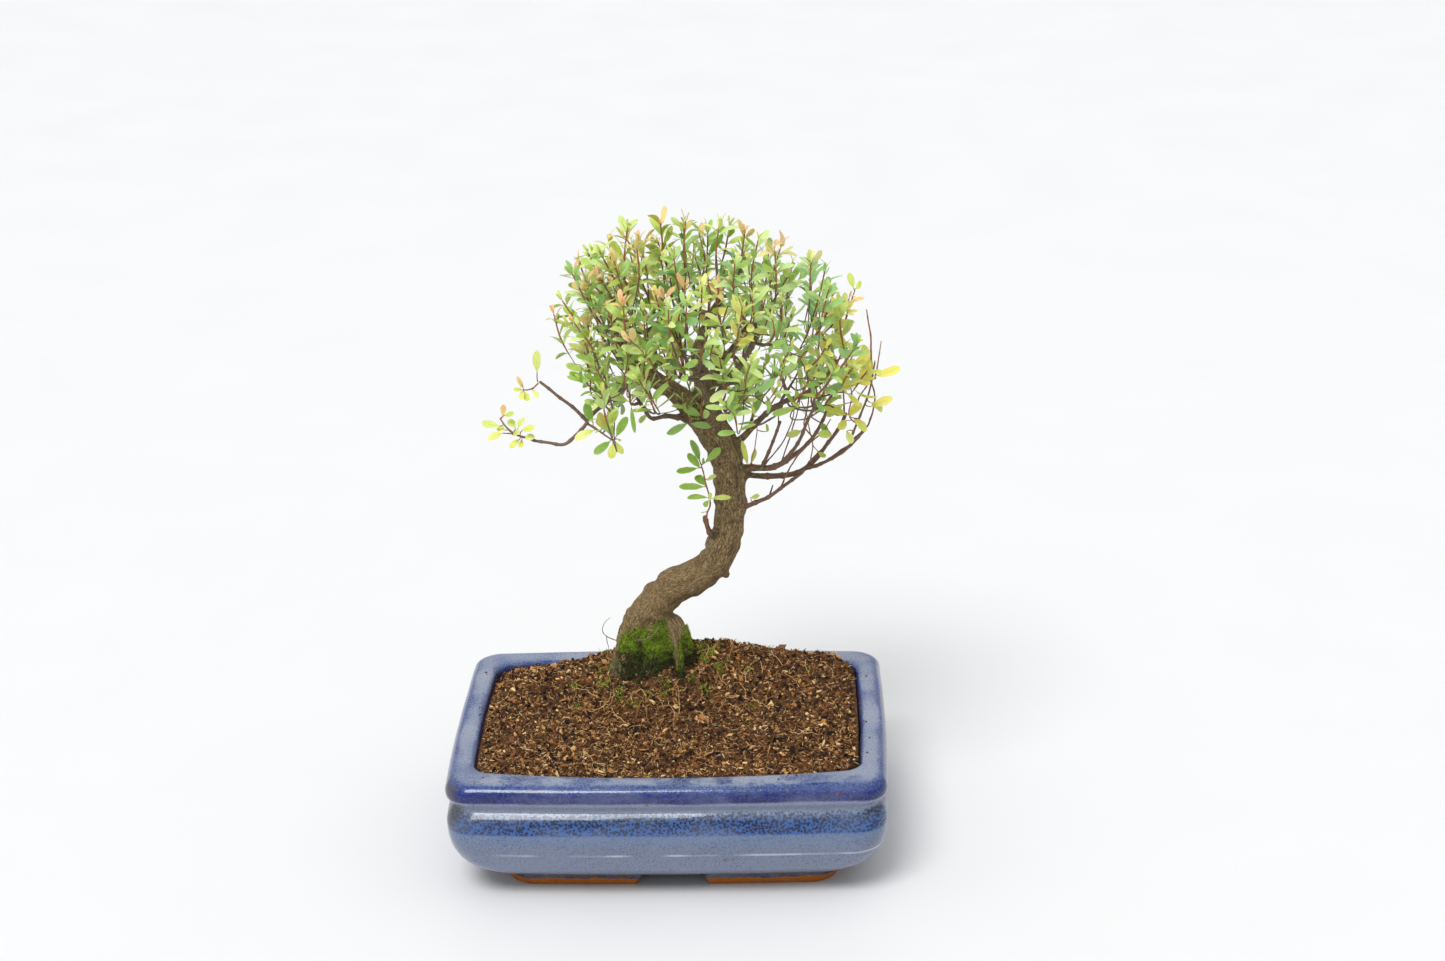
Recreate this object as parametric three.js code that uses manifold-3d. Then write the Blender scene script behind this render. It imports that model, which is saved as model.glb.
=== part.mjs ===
// Bonsai tree in a glazed rectangular pot.
// Millimetres, +Z up. X runs along the length of the pot, -Y is the front,
// the origin is under the middle of the pot on the surface it stands on.
import * as THREE from 'three';
import { mergeVertices } from 'three/addons/utils/BufferGeometryUtils.js';
import { ConvexGeometry } from 'three/addons/geometries/ConvexGeometry.js';
import Module from 'manifold-3d';

// ---- pot ----------------------------------------------------------------
const POT_HALF_X = 100;      // half length at the widest ring, at the corners
const POT_HALF_Y = 76.8;     // half depth at the widest ring, at the corners
const POT_BOW_X = 1.3;       // how far the short sides bow outwards
const POT_BOW_Y = 2.6;       // how far the long sides bow outwards
const POT_HEIGHT = 59;
const UNDERSIDE_Z = 7;       // the bottom of the bowl, between the feet
const FLOOR_Z = 13.5;        // the inside floor
const NOTCH_TOP = 6.6;       // height of the gaps between the feet
const NOTCH_WIDE = 31;       // gap width on the table
const NOTCH_NARROW = 24;     // gap width at its top
const NOTCH_X = 1;           // the front and back gaps sit a little off centre
const DRAIN_RADIUS = 6;
const DRAIN_X = 38;
const SEGMENTS = 48;         // vertices round each ring of the pot and soil
// ---- soil, drainage mesh ------------------------------------------------
const CLEAR = 0.35;          // clearance between the soil and what it touches
const SCREEN_SIDE = 28;
const SCREEN_THICK = 1.2;
const SCREEN_HOLE = 3;
const SCREEN_PITCH = 5;
const SOIL_LEVEL = 57;
const MOUND_HEIGHT = 13;     // the soil banks up towards the back
const HEAP_HEIGHT = 12.0;    // and round the foot of the trunk
const RISE = 1.6;
const COLLAR_HEIGHT = 5.0;  // and steeply against the mossy front of the foot
// ---- leaf tufts ---------------------------------------------------------
const TUFT_POINTS = 26;
// Centre lines of everything woody: [x, y, z, radius] in mm, from thick end to thin end.
const WOOD = {
  trunk: [[-12.5, 34, 44, 15.5], [-12.5, 34, 58, 14.5], [-11.6, 34, 69.8, 14.99], [-13.2, 33.5, 81.6, 12.05], [-11.9, 33, 93.3, 10.09], [-6.3, 32, 104.1, 9], [1.6, 31, 111.7, 8.45], [9.8, 30, 116.2, 8.1], [15.6, 29.5, 119.9, 7.85], [21.5, 29, 126, 7.88], [25.7, 28.5, 135.6, 7.72], [28.2, 28, 147.9, 7.55], [29.2, 27.5, 159.7, 7.48], [28.3, 27, 171.4, 7.6], [26.1, 26.5, 182.1, 7.76], [22.7, 26, 189.7, 8.39], [19.5, 26, 196.2, 6.98]],
  limb_left: [[22.7, 26, 188.7, 6.53], [15.4, 25, 199, 6.28], [8.3, 23, 208.1, 5.09], [0.2, 20, 216, 4.15], [-7.4, 18, 221.6, 3.77], [-14, 16, 227.1, 3.49], [-19.3, 15, 234.3, 3.2], [-21.7, 15, 243.4, 2.74], [-23.8, 16, 251.2, 2.28], [-25.9, 17, 258.5, 1.46]],
  limb_center: [[21.8, 26, 191.2, 6.53], [18.3, 27, 205.7, 5.34], [16.6, 28, 217.1, 4.17], [15, 29, 228, 3.24], [17.4, 30, 237.4, 2.54], [21.8, 30, 247, 2.07], [26.6, 28, 256.6, 1.47]],
  limb_right: [[28.2, 25, 183.6, 3.99], [34.4, 22, 189.1, 2.61], [39.6, 20, 195.2, 2.22], [47.2, 16, 204.3, 1.95], [54.6, 12, 210.5, 1.76], [62, 8, 214.7, 1.58], [68.4, 5, 219.5, 1.42], [73.9, 3, 225.4, 1.2], [78.5, 2, 233.8, 0.95]],
  limb_front: [[21.9, 24, 192.9, 4.19], [21.2, 8, 209.2, 2.75], [19.2, -8, 224.3, 1.99], [17.6, -20, 238.6, 1.34]],
  limb_front_right: [[21.1, 10, 207.6, 2.29], [28.1, -3, 224.4, 1.81], [37.1, -14, 239.3, 1.43], [43.2, -20, 252.4, 1.11]],
  limb_back: [[18.2, 28, 204.4, 3.72], [21.7, 44, 213.7, 2.58], [30.1, 54, 222.3, 1.89], [37.7, 58, 232.8, 1.32]],
  limb_back_left: [[-6, 18, 220.6, 2.53], [-5.8, 36, 226.4, 1.95], [-8.9, 48, 234.4, 1.31]],
  under_left: [[11.8, 24, 201.9, 3.25], [6.4, 20, 200.8, 2.13], [0.3, 16, 202.8, 1.57], [-6.1, 10, 203.7, 1.29], [-9.3, 5, 210, 1.14], [-12.1, 0, 217.1, 1]],
  whip_left: [[-11.4, 17, 223.9, 2.3], [-16.8, 13, 219.5, 1.74], [-23.6, 8, 214.5, 1.56], [-28.6, 5, 211.7, 1.42], [-33.1, 3, 208, 1.32], [-36.8, 1, 203, 1.23], [-40.9, 0, 199, 1.19], [-46, -1, 195.3, 1.14], [-53.2, -2, 196.6, 1], [-60.2, -2, 197.7, 0.96]],
  whip_left_2: [[-35.4, 2, 205.5, 1.28], [-41.5, 0, 213, 1.09], [-47.5, -1, 218.2, 1], [-52.2, -2, 222.9, 0.95], [-55.7, -2, 225.8, 0.95]],
  low_upper: [[32.7, 26, 172.3, 3.12], [37.4, 23, 174.3, 2.24], [41.7, 20, 175.6, 1.98], [47.1, 17, 176.4, 1.71], [52.9, 14, 179.5, 1.48], [57.6, 12, 183.4, 1.26], [63.2, 11, 188.3, 1.07], [68.5, 10, 194.9, 0.96], [72, 9, 201.7, 0.95], [75.3, 8, 210.2, 0.95]],
  low_upper_b: [[52.9, 14, 179.5, 1.41], [59.1, 8, 189, 0.99], [62.6, 4, 196.7, 0.95], [65.1, 2, 204.2, 0.95], [68.5, 0, 212, 0.95]],
  low_upper_c: [[44.1, 18, 176.6, 1.33], [47.5, 14, 185.9, 0.95], [50.4, 10, 194.7, 0.95], [52.8, 6, 202.9, 0.95]],
  low_mid: [[31.7, 28, 170.5, 2.9], [37.3, 28, 169.2, 1.95], [42, 28, 168.5, 1.73], [52.8, 29, 168.2, 1.5], [60.1, 30, 169.1, 1.39], [65, 31, 171.7, 1.24], [69.8, 32, 175.8, 1.13], [74.5, 33, 182.3, 1.02], [79.2, 34, 188.4, 0.95], [83.5, 34, 196.8, 0.95]],
  low_mid_b: [[64.1, 31, 170.9, 1.34], [71.1, 26, 174.9, 0.95], [80.9, 20, 182.5, 0.95], [88, 14, 191.5, 0.95], [91.8, 10, 198.2, 0.95]],
  low_bottom: [[32.4, 27, 151.8, 2.24], [36.7, 24, 154.9, 1.43], [41.9, 22, 157.9, 1.2], [46.9, 21, 160.5, 1.05], [52.8, 22, 164.6, 0.98], [57.9, 25, 167.4, 0.95], [62.2, 30, 169, 0.95], [67.4, 36, 173.3, 0.95], [73.1, 41, 177.5, 0.95], [78.9, 45, 184.1, 0.95]],
  spur_trunk: [[21.7, 27, 136.7, 2.37], [18.7, 22, 143.3, 1.27], [16.9, 20, 151.1, 1.13]],
  root_right: [[-8.5, 33, 95.4, 7.2], [-2.2, 30, 89.3, 8.16], [1, 29, 80.3, 8.17], [3.7, 28, 70.2, 6.26], [8, 26, 54, 3.5]],
  root_left: [[-15.9, 34, 88.8, 6.74], [-22.4, 33, 77.7, 5.79], [-27.4, 31, 67, 4.35], [-32, 28, 55, 3]],
  root_front: [[-12, 30, 84.2, 6.73], [-14.4, 25, 74.9, 5.76], [-15.8, 20, 67.7, 4.31], [-17, 12, 55, 3]],
  root_back: [[-10, 38, 78, 8], [-12, 46, 72, 7], [-14, 54, 65, 5], [-15, 57, 54, 3]],
  root_back_right: [[-4, 36, 76, 8], [5, 42, 70, 6.5], [14, 47, 64, 4.5], [20, 50, 54, 2.5]],
  trunk_shoot: [[28, 27, 139, 2.2], [20, 18, 146, 1.2], [17.2, 14, 151, 1], [16, 12.6, 154.6, 1]],
};
// Straight shoots from a limb to the inner face of a leaf tuft: [x0, y0, z0, x1, y1, z1, radius].
const SHOOTS = [
  [17.9, -17.6, 235.7, 17.3, -15.4, 238.6, 1.18],
  [76.7, 2.4, 230.4, 78.4, 2.9, 229.5, 1.05],
  [-10, 17.2, 223.8, -7.8, 14.5, 225.7, 1.5],
  [-8.3, 45.6, 232.8, -9.9, 46.3, 230.9, 1.15],
  [19.6, 34.4, 208.1, 25.6, 33.8, 207, 1.5],
  [34.7, 56.4, 228.6, 36.6, 55.6, 227.3, 1.24],
  [21, 40.8, 211.8, 15.4, 42.7, 210.9, 1.5],
  [-25.5, 16.8, 257, -31.2, 17.2, 259.1, 1.3],
  [-7, 40.8, 229.6, -5.4, 37.4, 235.4, 1.36],
  [77.6, 2.2, 232.1, 80.4, -3.2, 235.4, 1],
  [15.6, 28.6, 223.6, 19.9, 26.6, 224.6, 1.5],
  [-19.8, 15, 236.1, -21.2, 11.4, 235.6, 1.5],
  [35.3, -11.8, 236.3, 39.2, -9.9, 235.6, 1.2],
  [-24.6, 16.4, 254.1, -22.1, 15.1, 255, 1.5],
  [40.8, -17.6, 247.2, 38.3, -21.3, 246.6, 1],
  [25.6, 28.4, 254.7, 28.7, 31.1, 255.1, 1.27],
  [-9.3, 46, 231.6, -16, 52.5, 239.3, 1],
  [42, -18.8, 249.8, 40.9, -16.9, 255.2, 1],
  [42, -18.8, 249.8, 49.2, -21.5, 250.3, 1],
  [-8.3, 45.6, 232.8, -3.4, 49.8, 236.5, 1.15],
  [-29.8, 17.1, 258.6, -27.6, 24.3, 263.3, 1.04],
  [70.6, 4.2, 221.9, 69.7, 12.2, 225.4, 1.33],
  [17.6, -16.2, 237.5, 10.5, -20.7, 240.5, 1],
  [-23, 15.6, 248.1, -28.9, 23.2, 245.5, 1.5],
  [27.1, 29.7, 254.9, 29.6, 24.7, 268.8, 1.02],
  [29, 25.9, 265.5, 21.9, 32.2, 269.2, 1],
  [79.7, -1.9, 234.6, 73.9, 1.8, 246.7, 1],
  [-29, 17.1, 258.3, -32.8, 4.8, 266.7, 1.04],
  [36.2, 57.2, 230.7, 56.3, 56.2, 240.5, 1.15],
  [-32.4, 6, 265.8, -18.9, 10.6, 282.6, 1],
  [-6.6, 47, 234, -10.7, 56.7, 257.4, 1],
  [14.2, -18.4, 239, 12.8, -26.7, 259.7, 1],
  [25.6, 28.9, 267.3, 30.1, 48.8, 275, 1],
  [44.4, -19.7, 250, 58.5, -19, 271.7, 1],
  [-31.9, 7.8, 264.6, -31.2, -16.1, 251.8, 1],
  [23.6, 30.7, 268.3, 13.4, 21.8, 283.5, 1],
  [-31.2, -13.7, 253, -20, -22, 266.2, 1],
  [17.4, 30, 237.4, 29.3, -2.5, 289.6, 1.5],
  [28.1, 0.7, 284.4, 19.9, -3.6, 286.7, 1.2],
];
// Leaf tufts: name, centre, outer radius in mm, and how many times taller than wide.
const TUFTS = [
  ['foliage_low_back_01', 48, 51, 219.7, 14],
  ['foliage_low_back_02', 32.8, 20.6, 227.5, 14],
  ['foliage_low_back_03', 4.7, 46.4, 209.1, 11],
  ['foliage_low_back_04', 35.4, 32.7, 205.3, 9.5],
  ['foliage_low_front_01', -1.3, 6.8, 231.2, 11],
  ['foliage_low_left_01', -18, 49.6, 221.3, 12.5],
  ['foliage_low_right_01', 88.5, 5.9, 223.7, 12.5],
  ['foliage_mid_back_01', 41.9, 42.5, 256.9, 17],
  ['foliage_mid_back_02', 9.7, 43.1, 275.6, 17],
  ['foliage_mid_back_03', 8.1, 59.8, 245.1, 17],
  ['foliage_mid_back_04', -2.7, 31.7, 245, 11],
  ['foliage_mid_front_01', -3.5, -29.4, 246.4, 17],
  ['foliage_mid_front_02', 37.5, -11, 271.3, 17],
  ['foliage_mid_front_03', -7.1, 7.7, 260.1, 17],
  ['foliage_mid_front_04', 53.4, -3, 232.9, 15.5],
  ['foliage_mid_front_05', 29.6, -34.6, 244.6, 15.5],
  ['foliage_mid_front_06', 12.1, -31, 270.3, 11],
  ['foliage_mid_front_07', 15.8, -9.4, 246.5, 9.5],
  ['foliage_mid_left_01', -39.3, 36.5, 241, 17],
  ['foliage_mid_left_02', -26.9, -3.4, 233.6, 15.5],
  ['foliage_mid_left_03', -23.5, 37.3, 271.7, 15.5],
  ['foliage_mid_left_04', -13.2, -26.9, 274.1, 11],
  ['foliage_mid_left_05', -42, 18.1, 262.9, 11],
  ['foliage_mid_left_06', -21.5, 57.8, 245.7, 9.5],
  ['foliage_mid_left_07', -12.3, 60.5, 266.5, 9.5],
  ['foliage_mid_left_08', -30.9, -24.9, 247, 9.5],
  ['foliage_mid_right_01', 66.5, 6.5, 261.9, 17],
  ['foliage_mid_right_02', 68, 28.2, 232.3, 17],
  ['foliage_mid_right_03', 64.1, -27.1, 251.5, 15.5],
  ['foliage_mid_right_04', 68, 55.6, 246.2, 12.5],
  ['foliage_mid_right_05', 85.1, -12.2, 240.8, 11],
  ['foliage_top_centre_01', 5, -11.6, 291.1, 17],
  ['foliage_top_centre_02', 31.9, 19.8, 282.3, 14],
  ['foliage_top_centre_03', 32.2, 57.9, 278.5, 9.5],
  ['foliage_top_centre_04', 8.4, 17.4, 291, 9.5],
  ['foliage_top_centre_05', 31.2, -7.7, 297.9, 9.5],
  ['foliage_top_left_01', -37.1, -9.2, 276.2, 17],
  ['foliage_top_left_02', -12.7, 12.6, 290.2, 9.5],
  ['foliage_top_right_01', 64.7, -18.7, 281.4, 11],
  ['foliage_trunk_sprig', 15.5, 12, 171, 7.5, 2.1],
  ['foliage_whip_tip', -71, -3, 204.6, 8],
  ['foliage_whip_middle', -26.7, 0, 200.8, 8],
  ['foliage_whip_twig', -61, -3, 232.5, 6.5],
];

const wasm = await Module();
wasm.setup();

// ---- helpers --------------------------------------------------------------
function toManifold(geometry) {
  const g = geometry.clone();
  g.deleteAttribute('normal');
  g.deleteAttribute('uv');
  const m = mergeVertices(g, 1e-4);
  return new wasm.Manifold(new wasm.Mesh({
    numProp: 3,
    vertProperties: new Float32Array(m.attributes.position.array),
    triVerts: new Uint32Array(m.index.array),
  }));
}
function toGeometry(manifold) {
  const mesh = manifold.getMesh();
  const g = new THREE.BufferGeometry();
  g.setAttribute('position', new THREE.BufferAttribute(new Float32Array(mesh.vertProperties), 3));
  g.setIndex(new THREE.BufferAttribute(new Uint32Array(mesh.triVerts), 1));
  g.computeVertexNormals();
  return g;
}
const clamp = (v, a, b) => Math.min(b, Math.max(a, v));
const smooth = (a, b, v) => { const t = clamp((v - a) / (b - a), 0, 1); return t * t * (3 - 2 * t); };

// A repeatable random number source.
function random(seed) {
  let s = seed >>> 0;
  return () => {
    s = (s + 0x6D2B79F5) >>> 0;
    let t = Math.imul(s ^ (s >>> 15), 1 | s);
    t = (t + Math.imul(t ^ (t >>> 7), 61 | t)) ^ t;
    return ((t ^ (t >>> 14)) >>> 0) / 4294967296;
  };
}

// A solid tube of changing thickness: a closed cylinder whose vertices are
// moved on to a smooth curve through the given points.
function limb(points, sides, extra = 0, perSpan = 1) {
  const curve = new THREE.CatmullRomCurve3(points.map((p) => new THREE.Vector3(p[0], p[1], p[2])), false, 'centripetal');
  const rings = Math.max(1, (points.length - 1) * perSpan);
  const g = new THREE.CylinderGeometry(1, 1, 1, sides, rings, false);
  const at = (t) => {
    const u = t * (points.length - 1), i = Math.min(points.length - 2, Math.floor(u)), f = u - i;
    return points[i][3] * (1 - f) + points[i + 1][3] * f + extra;
  };
  const centres = [], frames = [];
  let side = new THREE.Vector3(1, 0, 0);
  for (let i = 0; i <= rings; i++) {
    const t = i / rings;
    const c = curve.getPoint(t), d = curve.getTangent(t).normalize();
    side = side.clone().sub(d.clone().multiplyScalar(side.dot(d)));
    if (side.length() < 0.2) side = new THREE.Vector3(0, 1, 0).sub(d.clone().multiplyScalar(d.y));
    side.normalize();
    centres.push(c.add(d.clone().multiplyScalar(i === 0 ? -extra : i === rings ? extra : 0)));
    frames.push([side.clone(), new THREE.Vector3().crossVectors(d, side)]);
  }
  const pos = g.attributes.position;
  for (let v = 0; v < pos.count; v++) {
    const t = clamp(pos.getY(v) + 0.5, 0, 1), i = Math.round(t * rings);
    const x = pos.getX(v), z = pos.getZ(v), r = at(i / rings), [a, b] = frames[i];
    const p = centres[i].clone().addScaledVector(a, -x * r).addScaledVector(b, z * r);
    pos.setXYZ(v, p.x, p.y, p.z);
  }
  return g;
}

// ---- the pot's and the soil's rings -------------------------------------------
// One ring of the pot: a rectangle of half sizes hx, hy with rounded corners and
// sides that bow outwards. t runs once round it.
function ringPoint(k, hx, hy, radius, bowX, bowY) {
  if (hx <= 0) return [0, 0];
  const corner = 6, longSide = 7, shortSide = 5; // 4 * 6 + 2 * 7 + 2 * 5 = SEGMENTS
  const r = Math.min(radius, hx * 0.9, hy * 0.9), px = hx - r, py = hy - r;
  const quads = [[px, -py, -90, shortSide], [px, py, 0, longSide], [-px, py, 90, shortSide], [-px, -py, 180, longSide]];
  let n = k % SEGMENTS, x = 0, y = 0;
  for (const [cx, cy, start, steps] of quads) {
    if (n < corner) {
      const a = (start + 90 * n / corner) * Math.PI / 180;
      x = cx + r * Math.cos(a);
      y = cy + r * Math.sin(a);
      break;
    }
    n -= corner;
    if (n < steps) {
      const a = (start + 90) * Math.PI / 180, ax = cx + r * Math.cos(a), ay = cy + r * Math.sin(a);
      x = steps === longSide ? ax * (1 - 2 * n / steps) : ax;
      y = steps === longSide ? ay : ay * (1 - 2 * n / steps);
      break;
    }
    n -= steps;
  }
  return [
    x * (1 + bowX / hx * (1 - Math.min(1, Math.abs(y) / hy) ** 2)),
    y * (1 + bowY / hy * (1 - Math.min(1, Math.abs(x) / hx) ** 2)),
  ];
}
// rows: [half x, half y, z or height function, corner radius, bow x, bow y].
function ringSolid(rows) {
  const profile = rows.map((r, i) => new THREE.Vector2(r[0] <= 0 ? 0 : 1 + i, i));
  const g = new THREE.LatheGeometry(profile, SEGMENTS);
  const pos = g.attributes.position;
  for (let v = 0; v < pos.count; v++) {
    const k = Math.floor(v / rows.length), row = rows[v % rows.length];
    const [x, y] = ringPoint(k, row[0], row[1], row[3], row[4], row[5]);
    pos.setXYZ(v, x, y, typeof row[2] === 'function' ? row[2](x, y) : row[2]);
  }
  return g;
}
// inset from the widest ring in x and y, height, corner radius
const outer = (dx, dy, z, r) => [POT_HALF_X - dx, POT_HALF_Y - dy, z, r, POT_BOW_X, POT_BOW_Y];
// inner rings: the mouth is rounder than the outside, so its long sides bow more
const MOUTH_BOW = 7.5;
const inner = (d, z, r, off = 0) => [POT_HALF_X - d - off, POT_HALF_Y - 6 - d - off, z, r, POT_BOW_X, MOUTH_BOW];

const potRows = [
  [0, 0, UNDERSIDE_Z, 0, 0, 0],
  [65, 47.5, UNDERSIDE_Z, 9, 0.6, 1.2],
  [66, 48.5, 0, 9, 0.6, 1.2],
  [75.4, 57.2, 0, 12, 0.8, 1.6],
  [76.4, 58.3, UNDERSIDE_Z + 0.2, 13, 0.8, 1.6],
  outer(22.4, 17.4, 7.5, 15.5),
  outer(16, 12.5, 9.2, 17),
  outer(10, 8.2, 12, 17),
  outer(5.4, 4.6, 16, 16),
  outer(2.4, 2.2, 21.5, 15),
  outer(0.5, 0.5, 28.5, 14),
  outer(0, 0, 36, 13),
  outer(1.6, 1.6, 42, 12.5),
  outer(4.2, 4.2, 45.3, 11),
  outer(1.7, 1.7, 48.2, 11),
  outer(0.2, 0.2, 50.8, 11),
  outer(0, 0, 53.2, 11),
  outer(1.1, 1.1, 56.3, 11),
  outer(3.8, 3.8, 58.4, 10),
  outer(7, 7, POT_HEIGHT, 9),
  inner(10.4, POT_HEIGHT - 0.2, 8),
  inner(12.4, POT_HEIGHT - 1.6, 8),
  inner(12.8, 54, 8),
  inner(11.6, 46, 9),
  inner(10, 38, 10),
  inner(10, 28, 12),
  inner(12.5, 20, 14),
  inner(18, 15.2, 15),
  inner(26, FLOOR_Z, 15),
  [0, 0, FLOOR_Z, 0, 0, 0],
];
function notchTool(length, alongX) {
  const s = new THREE.Shape();
  s.moveTo(-NOTCH_WIDE / 2 - 0.8, -1);
  s.lineTo(NOTCH_WIDE / 2 + 0.8, -1);
  s.lineTo(NOTCH_NARROW / 2, NOTCH_TOP);
  s.lineTo(-NOTCH_NARROW / 2, NOTCH_TOP);
  s.closePath();
  const g = new THREE.ExtrudeGeometry(s, { depth: length, bevelEnabled: false });
  g.rotateX(Math.PI / 2);             // profile now stands in XZ, length runs along -Y
  g.translate(0, length / 2, 0);
  if (alongX) g.rotateZ(Math.PI / 2); else g.translate(NOTCH_X, 0, 0);
  return g;
}
function potGeometry() {
  let m = toManifold(ringSolid(potRows));
  m = m.subtract(toManifold(notchTool(2 * POT_HALF_Y + 20, false)));
  m = m.subtract(toManifold(notchTool(2 * POT_HALF_X + 20, true)));
  for (const x of [-DRAIN_X, DRAIN_X]) {
    const hole = new THREE.CylinderGeometry(DRAIN_RADIUS, DRAIN_RADIUS, 20, 16);
    hole.rotateX(Math.PI / 2);
    hole.translate(x, 0, (UNDERSIDE_Z + FLOOR_Z) / 2);
    m = m.subtract(toManifold(hole));
  }
  return toGeometry(m);
}

// ---- the tree ---------------------------------------------------------------
// Trunk, surface roots, limbs and shoots grew as one piece.
function treeManifold() {
  let m = null;
  const add = (g) => { const t = toManifold(g); m = m ? m.add(t) : t; };
  for (const [name, points] of Object.entries(WOOD)) {
    const sides = name === 'trunk' ? 12 : name.startsWith('root') ? 9 : points[0][3] > 4 ? 8 : 6;
    add(limb(points, sides));
  }
  for (const [x0, y0, z0, x1, y1, z1, r] of SHOOTS) add(limb([[x0, y0, z0, r], [x1, y1, z1, r * 0.8]], 5));
  return m;
}
// The same wood below the surface, a little thicker, for the hole it leaves.
function buriedWood(extra) {
  let m = null;
  for (const [name, points] of Object.entries(WOOD)) {
    if (name !== 'trunk' && !name.startsWith('root')) continue;
    const part = name === 'trunk' ? points.slice(0, 8) : points;
    const t = toManifold(limb(part, name === 'trunk' ? 12 : 9, extra));
    m = m ? m.add(t) : t;
  }
  return m;
}

// ---- soil ---------------------------------------------------------------------
function soilTop(x, y) {
  const edge = 1 - smooth(0.86, 0.985, Math.max(Math.abs(x) / 88, Math.abs(y) / 66));
  const mound = MOUND_HEIGHT * Math.exp(-(((x - 14) / 62) ** 2) - (((y - 52) / 30) ** 2)) * edge;
  const heap = HEAP_HEIGHT * Math.exp(-(((x + 5) / 27) ** 2) - (((y - 29) / 17) ** 2)) * edge;
  const rise = RISE * smooth(-30, 45, y) * edge;
  const collar = COLLAR_HEIGHT * Math.exp(-(((x + 8) / 17) ** 2) - (((y - 17) / 8) ** 2)) * edge;
  const dip = 3.5 * Math.exp(-(((x + 72) / 24) ** 2) - (((y - 56) / 18) ** 2));
  return SOIL_LEVEL + mound - dip + heap + rise + collar;
}
function soilGeometry() {
  const at = (d, z, r) => inner(d, z, r, CLEAR);
  const rows = [
    [0, 0, FLOOR_Z + CLEAR, 0, 0, 0],
    at(26, FLOOR_Z + CLEAR, 15),
    at(18, 15.2 + CLEAR, 15),
    at(12.5, 20, 14),
    at(10, 28, 12),
    at(10, 38, 10),
    at(11.6, 46, 9),
    at(12.8, 53, 8),
    at(13.6, (x, y) => soilTop(x, y) - 1.2, 8),
    at(16, soilTop, 9),
    at(22, soilTop, 11),
    at(31, soilTop, 14),
    at(42, soilTop, 16),
    at(54, soilTop, 16),
    [22, 8, soilTop, 7, 0, 1],
    [0, 0, soilTop(0, 0), 0, 0, 0],
  ];
  let m = toManifold(ringSolid(rows));
  for (const x of [-DRAIN_X, DRAIN_X]) {
    const pocket = new THREE.BoxGeometry(SCREEN_SIDE + 1, SCREEN_SIDE + 1, 10);
    pocket.translate(x, 0, FLOOR_Z + 0.3 + SCREEN_THICK + CLEAR - 5);
    m = m.subtract(toManifold(pocket));
  }
  return m.subtract(buriedWood(CLEAR));
}

// ---- drainage mesh ---------------------------------------------------------------
function screenGeometry() {
  const plate = new THREE.BoxGeometry(SCREEN_SIDE, SCREEN_SIDE, SCREEN_THICK);
  plate.translate(0, 0, SCREEN_THICK / 2);
  let m = toManifold(plate);
  for (let i = -2; i <= 2; i++) {
    for (let k = -2; k <= 2; k++) {
      const hole = new THREE.BoxGeometry(SCREEN_HOLE, SCREEN_HOLE, SCREEN_THICK * 3);
      hole.translate(i * SCREEN_PITCH, k * SCREEN_PITCH, 0);
      m = m.subtract(toManifold(hole));
    }
  }
  return toGeometry(m);
}

// ---- moss -----------------------------------------------------------------------
// A cushion of moss on the front and right of the flared base.
function mossManifold(soil) {
  const lump = (x, y, z, a, b, c) => {
    const g = new THREE.SphereGeometry(1, 16, 10);
    g.scale(a, b, c);
    g.translate(x, y, z);
    return toManifold(g);
  };
  let m = lump(-8, 25, 75, 15, 10.5, 19);
  m = m.add(lump(1, 26, 72, 10, 9.5, 14));
  return m.subtract(buriedWood(0.4)).subtract(soil).subtract(soil.translate([0, 0, CLEAR])).subtract(soil.translate([0, -CLEAR, 0])).subtract(soilBlock());
}
function soilBlock() {
  // everything under the soil's own skin
  const g = new THREE.BoxGeometry(160, 110, 40);
  g.translate(0, 0, 38);
  return toManifold(g);
}

// ---- leaf tufts --------------------------------------------------------------------
// A tuft is a closed lump: the skin stretched over points scattered on a ball.
function tuftGeometry(radius, seed, tall = 1) {
  const rnd = random(seed), pts = [];
  const turn = rnd() * Math.PI * 2;
  for (let i = 0; i < TUFT_POINTS; i++) {
    const z = 1 - 2 * (i + 0.5) / TUFT_POINTS, a = turn + i * 2.399963;
    const s = Math.sqrt(1 - z * z), r = radius * (0.9 + 0.1 * rnd());
    pts.push(new THREE.Vector3(s * Math.cos(a) * r, s * Math.sin(a) * r, z * r * tall));
  }
  return new ConvexGeometry(pts);
}

// ---- assembly ------------------------------------------------------------------------
const glaze = new THREE.MeshStandardMaterial({ color: 0x5a74ad, roughness: 0.15, metalness: 0 });
const bark = new THREE.MeshStandardMaterial({ color: 0x6b5a48, roughness: 0.85, metalness: 0 });
const earth = new THREE.MeshStandardMaterial({ color: 0x4a3122, roughness: 0.95, metalness: 0 });
const plastic = new THREE.MeshStandardMaterial({ color: 0x22252a, roughness: 0.6, metalness: 0 });
const mossGreen = new THREE.MeshStandardMaterial({ color: 0x4f7a22, roughness: 0.95, metalness: 0 });

const model = new THREE.Group();
function place(name, geometry, material, x = 0, y = 0, z = 0) {
  const mesh = new THREE.Mesh(geometry, material.clone());
  mesh.name = name;
  mesh.position.set(x, y, z);
  model.add(mesh);
  return mesh;
}

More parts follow.
